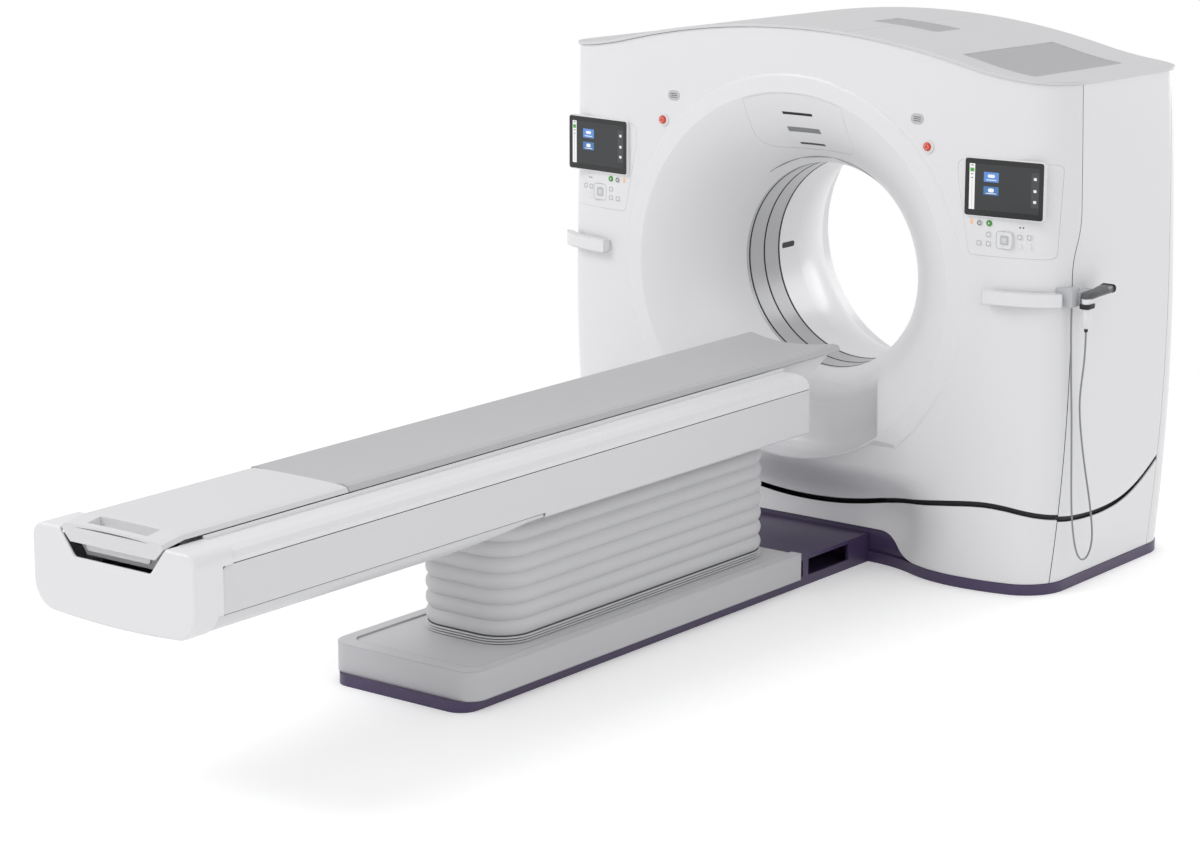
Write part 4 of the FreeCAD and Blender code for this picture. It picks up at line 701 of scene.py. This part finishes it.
class CT_OT_screens(bpy.types.Operator):
    """Lights the two displays with a plain layout of panels, tiles and bars"""
    bl_idname = "ct_scanner.screens"
    bl_label = "Screens"

    def execute(self, context):
        depth = surface("display_glasses")
        corners = [corner.co / MM for corner in NODES["display_glasses"].data.vertices]
        glasses = []
        for side in (-1, 1):
            own = [corner for corner in corners if corner.x * side > 0]
            glasses.append((min(corner.x for corner in own), max(corner.x for corner in own),
                            min(corner.z for corner in own), max(corner.z for corner in own)))
        for name, colour, proud, areas in SCREEN_LAYERS:
            shapes = []
            for left, right, foot, top in glasses:
                for u_low, v_low, u_high, v_high, radius in areas:
                    half_x = (u_high - u_low) * (right - left) / 2
                    half_z = (v_high - v_low) * (top - foot) / 2
                    x = left + (u_low + u_high) * (right - left) / 2
                    z = top - (v_low + v_high) * (top - foot) / 2
                    corner_radius = min(radius, half_x * 0.98, half_z * 0.98)
                    shapes.append((mark(x, z, half_x, half_z, corner_radius), None))
            inlay("screen_" + name, depth, shapes, lit("Display light, " + name.replace("_", " "), colour),
                  "base", proud=proud)
        return {"FINISHED"}


class CT_OT_table(bpy.types.Operator):
    """Finishes the patient table"""
    bl_idname = "ct_scanner.table"
    bl_label = "Patient table"

    def execute(self, context):
        for node in ("side_panel_left", "side_panel_right", "belly_pan"):
            # Faces that look into the seams take the dark grey painted shade.
            # The side panels and belly take the greyer enamel, which is painted shade.
            dress(node, shaded_panel_enamel(), seam_shadow(), choose=beside_table_seam)
        for node in ("rail_covers", "end_cap"):
            # Faces that look into the seams take the dark grey painted shade.
            dress(node, white_enamel(), seam_shadow(), choose=beside_table_seam)
        for node in ("release_handle", "cradle_carrier"):
            dress(node, white_enamel())
        dress("tail_cover", tail_abs())
        # Upward faces take the lighter ABS as painted light; the sides take the greyer ABS as painted shade.
        dress("base_cover", shaded_side_abs(), lit_top_abs(), choose=lambda place, normal: int(normal.z > 0.7))
        dress("table_plinth", plum_powder_coat())
        dress("dock_frame", plum_powder_coat())
        dress("cradle", cradle_composite())
        inlay("tail_recess_back", lambda x, z: TAIL_RECESS_DEPTH, [(TAIL_RECESS, None)], white_enamel(),
              "lift", proud=1.0, sink=1.0)
        return {"FINISHED"}


def rounded_loop(half, y_low, y_high, radius, corner_steps=10, side_steps=12):
    """Points round a rectangle with rounded corners, in plan, with more points along its straight sides."""
    loop = []
    corners = ((half - radius, y_low + radius, -90), (half - radius, y_high - radius, 0),
               (-half + radius, y_high - radius, 90), (-half + radius, y_low + radius, 180))
    for index, (x, y, start) in enumerate(corners):
        loop.extend(polar(x, y, radius, start + 90 * step / corner_steps) for step in range(corner_steps + 1))
        next_x, next_y, next_start = corners[(index + 1) % 4]
        last = loop[-1]
        target = polar(next_x, next_y, radius, next_start)
        for step in range(1, side_steps):
            share = step / side_steps
            loop.append((last[0] + (target[0] - last[0]) * share, last[1] + (target[1] - last[1]) * share))
    return loop


class CT_OT_bellows(bpy.types.Operator):
    """Makes the bellows, whose cloth folds stand out in full curves between sharp valleys"""
    bl_idname = "ct_scanner.bellows"
    bl_label = "Bellows"

    # How many rings of points a fold has, and how full its curve is: the lower the power, the fuller.
    closed_rings = 8
    open_rings = 14
    closed_power = 0.35
    open_power = 0.55
    # How much deeper than an open fold's the valley between closed folds is, as a share of the depth.
    closed_valley = 0.35
    # Room to the pieces above and below, and to the space that the bellows may take in plan.
    end_room = 0.5 * MM
    side_room = 0.3 * MM

    def fold_levels(self, settings, low_z, high_z):
        """The height of each ring of points, with how far it stands out as a share of the depth."""
        bottom = low_z + self.end_room
        stack_top = low_z + settings.stacked * settings.stacked_pitch
        pitch = (high_z - stack_top) / settings.folds
        levels = []
        for index in range(settings.stacked):
            for step in range(self.closed_rings):
                share = step / self.closed_rings
                bulge = math.sin(math.pi * share) ** self.closed_power
                levels.append((bottom + (index + share) * settings.stacked_pitch,
                               (1 + self.closed_valley) * bulge - self.closed_valley))
        for index in range(settings.folds):
            for step in range(self.open_rings):
                share = step / self.open_rings
                bulge = math.sin(math.pi * share) ** self.open_power
                levels.append((stack_top + (index + share) * pitch, bulge))
        levels.append((high_z - self.end_room, 0.0))
        return levels

    def execute(self, context):
        settings = context.scene.ct_bellows
        low, high = BELLOWS_LOW, BELLOWS_HIGH
        levels = self.fold_levels(settings, low.z, high.z)
        mesh = bpy.data.meshes.new("bellows_skin")
        points = []
        faces = []
        count = 0
        for z, share in levels:
            inset = settings.depth * (1 - share) + self.side_room
            loop = rounded_loop(high.x - inset, low.y + inset, high.y - inset, settings.corner - inset)
            count = len(loop)
            points.extend((x, y, z) for x, y in loop)
        for level in range(len(levels) - 1):
            low_start, high_start = level * count, (level + 1) * count
            for index in range(count):
                after = (index + 1) % count
                faces.append((low_start + index, low_start + after, high_start + after, high_start + index))
        mesh.from_pydata(points, [], faces)
        piece = mesh_object("bellows_skin", mesh, bellows_cloth())
        # The closed folds' valley faces take the dark cloth, which is painted shade.
        piece.data.materials.append(valley_shade_cloth())
        for face in mesh.polygons:
            level = face.index // count
            closed = level < self.closed_rings * settings.stacked + 1
            if closed and level % self.closed_rings in (0, self.closed_rings - 1):
                face.material_index = 1
        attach(piece, "lift")
        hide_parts("bellows")
        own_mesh(piece)
        return {"FINISHED"}


def skinned(form, loops, material_index):
    """Joins loops of equally many points into a closed skin."""
    rings = [[form.verts.new([value * MM for value in point]) for point in loop] for loop in loops]
    faces = [form.faces.new(rings[0][::-1]), form.faces.new(rings[-1])]
    count = len(rings[0])
    for low, high in zip(rings, rings[1:]):
        for index in range(count):
            after = (index + 1) % count
            faces.append(form.faces.new((low[index], low[after], high[after], high[index])))
    for face in faces:
        face.material_index = material_index


class CT_OT_scanner(bpy.types.Operator):
    """Makes the hand scanner, finishes its holder and hangs its cord"""
    bl_idname = "ct_scanner.scanner"
    bl_label = "Hand scanner and cord"

    def make_scanner(self):
        """A slender grip with a dark collar in the cup, and a flat head with a dark window at its end."""
        form = bmesh.new()
        for sections, material_index in ((SCANNER_GRIP, 0), (SCANNER_COLLAR, 1), (SCANNER_FOOT, 1)):
            skinned(form, [[(x, y, height) for x, y in mark(SCANNER_ACROSS, depth, half_x, half_y, radius, 5)]
                           for height, depth, half_x, half_y, radius in sections], material_index)
        for sections, material_index in ((SCANNER_HEAD, 2), (SCANNER_NOSE, 1)):
            skinned(form, [[(x, depth, z) for x, z in mark(SCANNER_ACROSS, height, half_x, half_z, radius, 5)]
                           for depth, height, half_x, half_z, radius in sections], material_index)
        bmesh.ops.recalc_face_normals(form, faces=form.faces)
        mesh = bpy.data.meshes.new("hand_scanner_shell")
        form.to_mesh(mesh)
        form.free()
        piece = mesh_object("hand_scanner_shell", mesh, white_enamel())
        piece.data.materials.append(black_abs())
        piece.data.materials.append(scanner_abs())
        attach(piece, "base")
        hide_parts("hand_scanner")

    def execute(self, context):
        settings = context.scene.ct_cord
        dress("scanner_holder", silicone("holder grey"))
        self.make_scanner()
        curve = bpy.data.curves.new("scanner_cord_jacket", "CURVE")
        curve.dimensions = "3D"
        curve.bevel_depth = settings.diameter / 2
        curve.bevel_resolution = 4
        curve.resolution_u = 8
        curve.use_fill_caps = True
        spline = curve.splines.new("NURBS")
        spline.points.add(len(CORD_ROUTE_MM) - 1)
        for point, place in zip(spline.points, CORD_ROUTE_MM):
            point.co = (place[0] * MM, place[1] * MM, place[2] * MM, 1.0)
        spline.order_u = 3
        spline.use_endpoint_u = True
        cord = bpy.data.objects.new("scanner_cord_jacket", curve)
        context.scene.collection.objects.link(cord)
        curve.materials.append(cord_jacket())
        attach(cord, "base")
        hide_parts("scanner_cord")
        return {"FINISHED"}


class CT_OT_stage(bpy.types.Operator):
    """Builds the floor, the lamps and the camera"""
    bl_idname = "ct_scanner.stage"
    bl_label = "Studio"

    def execute(self, context):
        settings = context.scene.ct_studio
        side = settings.floor
        mesh = bpy.data.meshes.new("studio_floor")
        mesh.from_pydata([(-side, -side, 0), (side, -side, 0), (side, side, 0), (-side, side, 0)], [],
                         [(0, 1, 2, 3)])
        material, tree, output = new_material("White studio vinyl")
        place = add_node(tree, "ShaderNodeTexCoord").outputs["Object"]
        centred = add_node(tree, "ShaderNodeVectorMath", {1: FLOOR_MIDDLE_SHIFT}, {0: place}, operation="ADD")
        reach = add_node(tree, "ShaderNodeVectorMath", links={0: centred.outputs[0]}, operation="LENGTH")
        near_radius, far_radius = FLOOR_GLOW_RADII
        far = add_node(tree, "ShaderNodeMapRange", {"From Min": near_radius, "From Max": far_radius},
                       {"Value": reach.outputs["Value"]}, interpolation_type="SMOOTHSTEP")
        rays = add_node(tree, "ShaderNodeLightPath")
        seen = add_node(tree, "ShaderNodeMath", links={0: rays.outputs["Is Camera Ray"],
                                                       1: rays.outputs["Is Glossy Ray"]}, operation="MAXIMUM")
        white = add_node(tree, "ShaderNodeMath", links={0: seen.outputs[0], 1: far.outputs["Result"]},
                         operation="MULTIPLY")
        lift = add_node(tree, "ShaderNodeMath", {1: FLOOR_LIFT}, {0: seen.outputs[0]}, operation="MULTIPLY")
        vinyl = add_node(tree, "ShaderNodeBsdfPrincipled",
                         {"Base Color": linear("#fcfcfc"), "Roughness": 0.9, "Emission Color": (1, 1, 1, 1)},
                         {"Emission Strength": lift.outputs[0]})
        glow = add_node(tree, "ShaderNodeEmission", {"Color": (1, 1, 1, 1), "Strength": 1.0})
        shader = add_node(tree, "ShaderNodeMixShader", links={0: white.outputs[0], 1: vinyl.outputs["BSDF"],
                                                              2: glow.outputs["Emission"]})
        tree.links.new(shader.outputs["Shader"], output.inputs["Surface"])
        mesh_object("studio_floor", mesh, material, smooth=False)
        world = bpy.data.worlds.new("studio")
        world.use_nodes = True
        background = world.node_tree.nodes["Background"]
        background.inputs["Color"].default_value = (1, 1, 1, 1)
        background.inputs["Strength"].default_value = WORLD_LIGHT
        context.scene.world = world
        for name, place, aim, size, power in LAMPS:
            lamp = bpy.data.lights.new(name, "AREA")
            lamp.shape = "DISK"
            lamp.size = size
            lamp.energy = power
            holder = bpy.data.objects.new(name, lamp)
            context.scene.collection.objects.link(holder)
            holder.location = place
            holder.rotation_euler = (Vector(aim) - Vector(place)).to_track_quat("-Z", "Y").to_euler()
        camera = bpy.data.cameras.new("photo_camera")
        camera.lens = settings.lens
        camera.sensor_width = 36.0
        camera.clip_end = 200.0
        holder = bpy.data.objects.new("photo_camera", camera)
        context.scene.collection.objects.link(holder)
        holder.location = settings.eye
        holder.rotation_euler = (math.pi / 2 - settings.dip, 0, settings.turn)
        context.scene.camera = holder
        context.scene.view_settings.view_transform = "Standard"
        return {"FINISHED"}


class CT_PT_sidebar(bpy.types.Panel):
    """Lists what can be built"""
    bl_label = "CT scanner"
    bl_space_type = "VIEW_3D"
    bl_region_type = "UI"
    bl_category = "CT scanner"

    def draw(self, context):
        for operator in OPERATORS:
            self.layout.operator(operator.bl_idname)


SETTINGS = {"ct_bellows": BellowsSettings, "ct_cord": CordSettings, "ct_studio": StudioSettings}
OPERATORS = (CT_OT_stage, CT_OT_covers, CT_OT_inside, CT_OT_controls, CT_OT_screens, CT_OT_table,
             CT_OT_bellows, CT_OT_scanner)


def register():
    for group in SETTINGS.values():
        bpy.utils.register_class(group)
    for operator in OPERATORS:
        bpy.utils.register_class(operator)
    bpy.utils.register_class(CT_PT_sidebar)
    for name, group in SETTINGS.items():
        setattr(bpy.types.Scene, name, bpy.props.PointerProperty(type=group))


def unregister():
    for name in SETTINGS:
        delattr(bpy.types.Scene, name)
    bpy.utils.unregister_class(CT_PT_sidebar)
    for operator in OPERATORS:
        bpy.utils.unregister_class(operator)
    for group in SETTINGS.values():
        bpy.utils.unregister_class(group)


def main():
    register()
    bpy.ops.ct_scanner.stage()
    bpy.ops.ct_scanner.covers()
    bpy.ops.ct_scanner.inside()
    bpy.ops.ct_scanner.controls()
    bpy.ops.ct_scanner.screens()
    bpy.ops.ct_scanner.table()
    bpy.ops.ct_scanner.bellows()
    bpy.ops.ct_scanner.scanner()


if __name__ == "__main__":
    main()
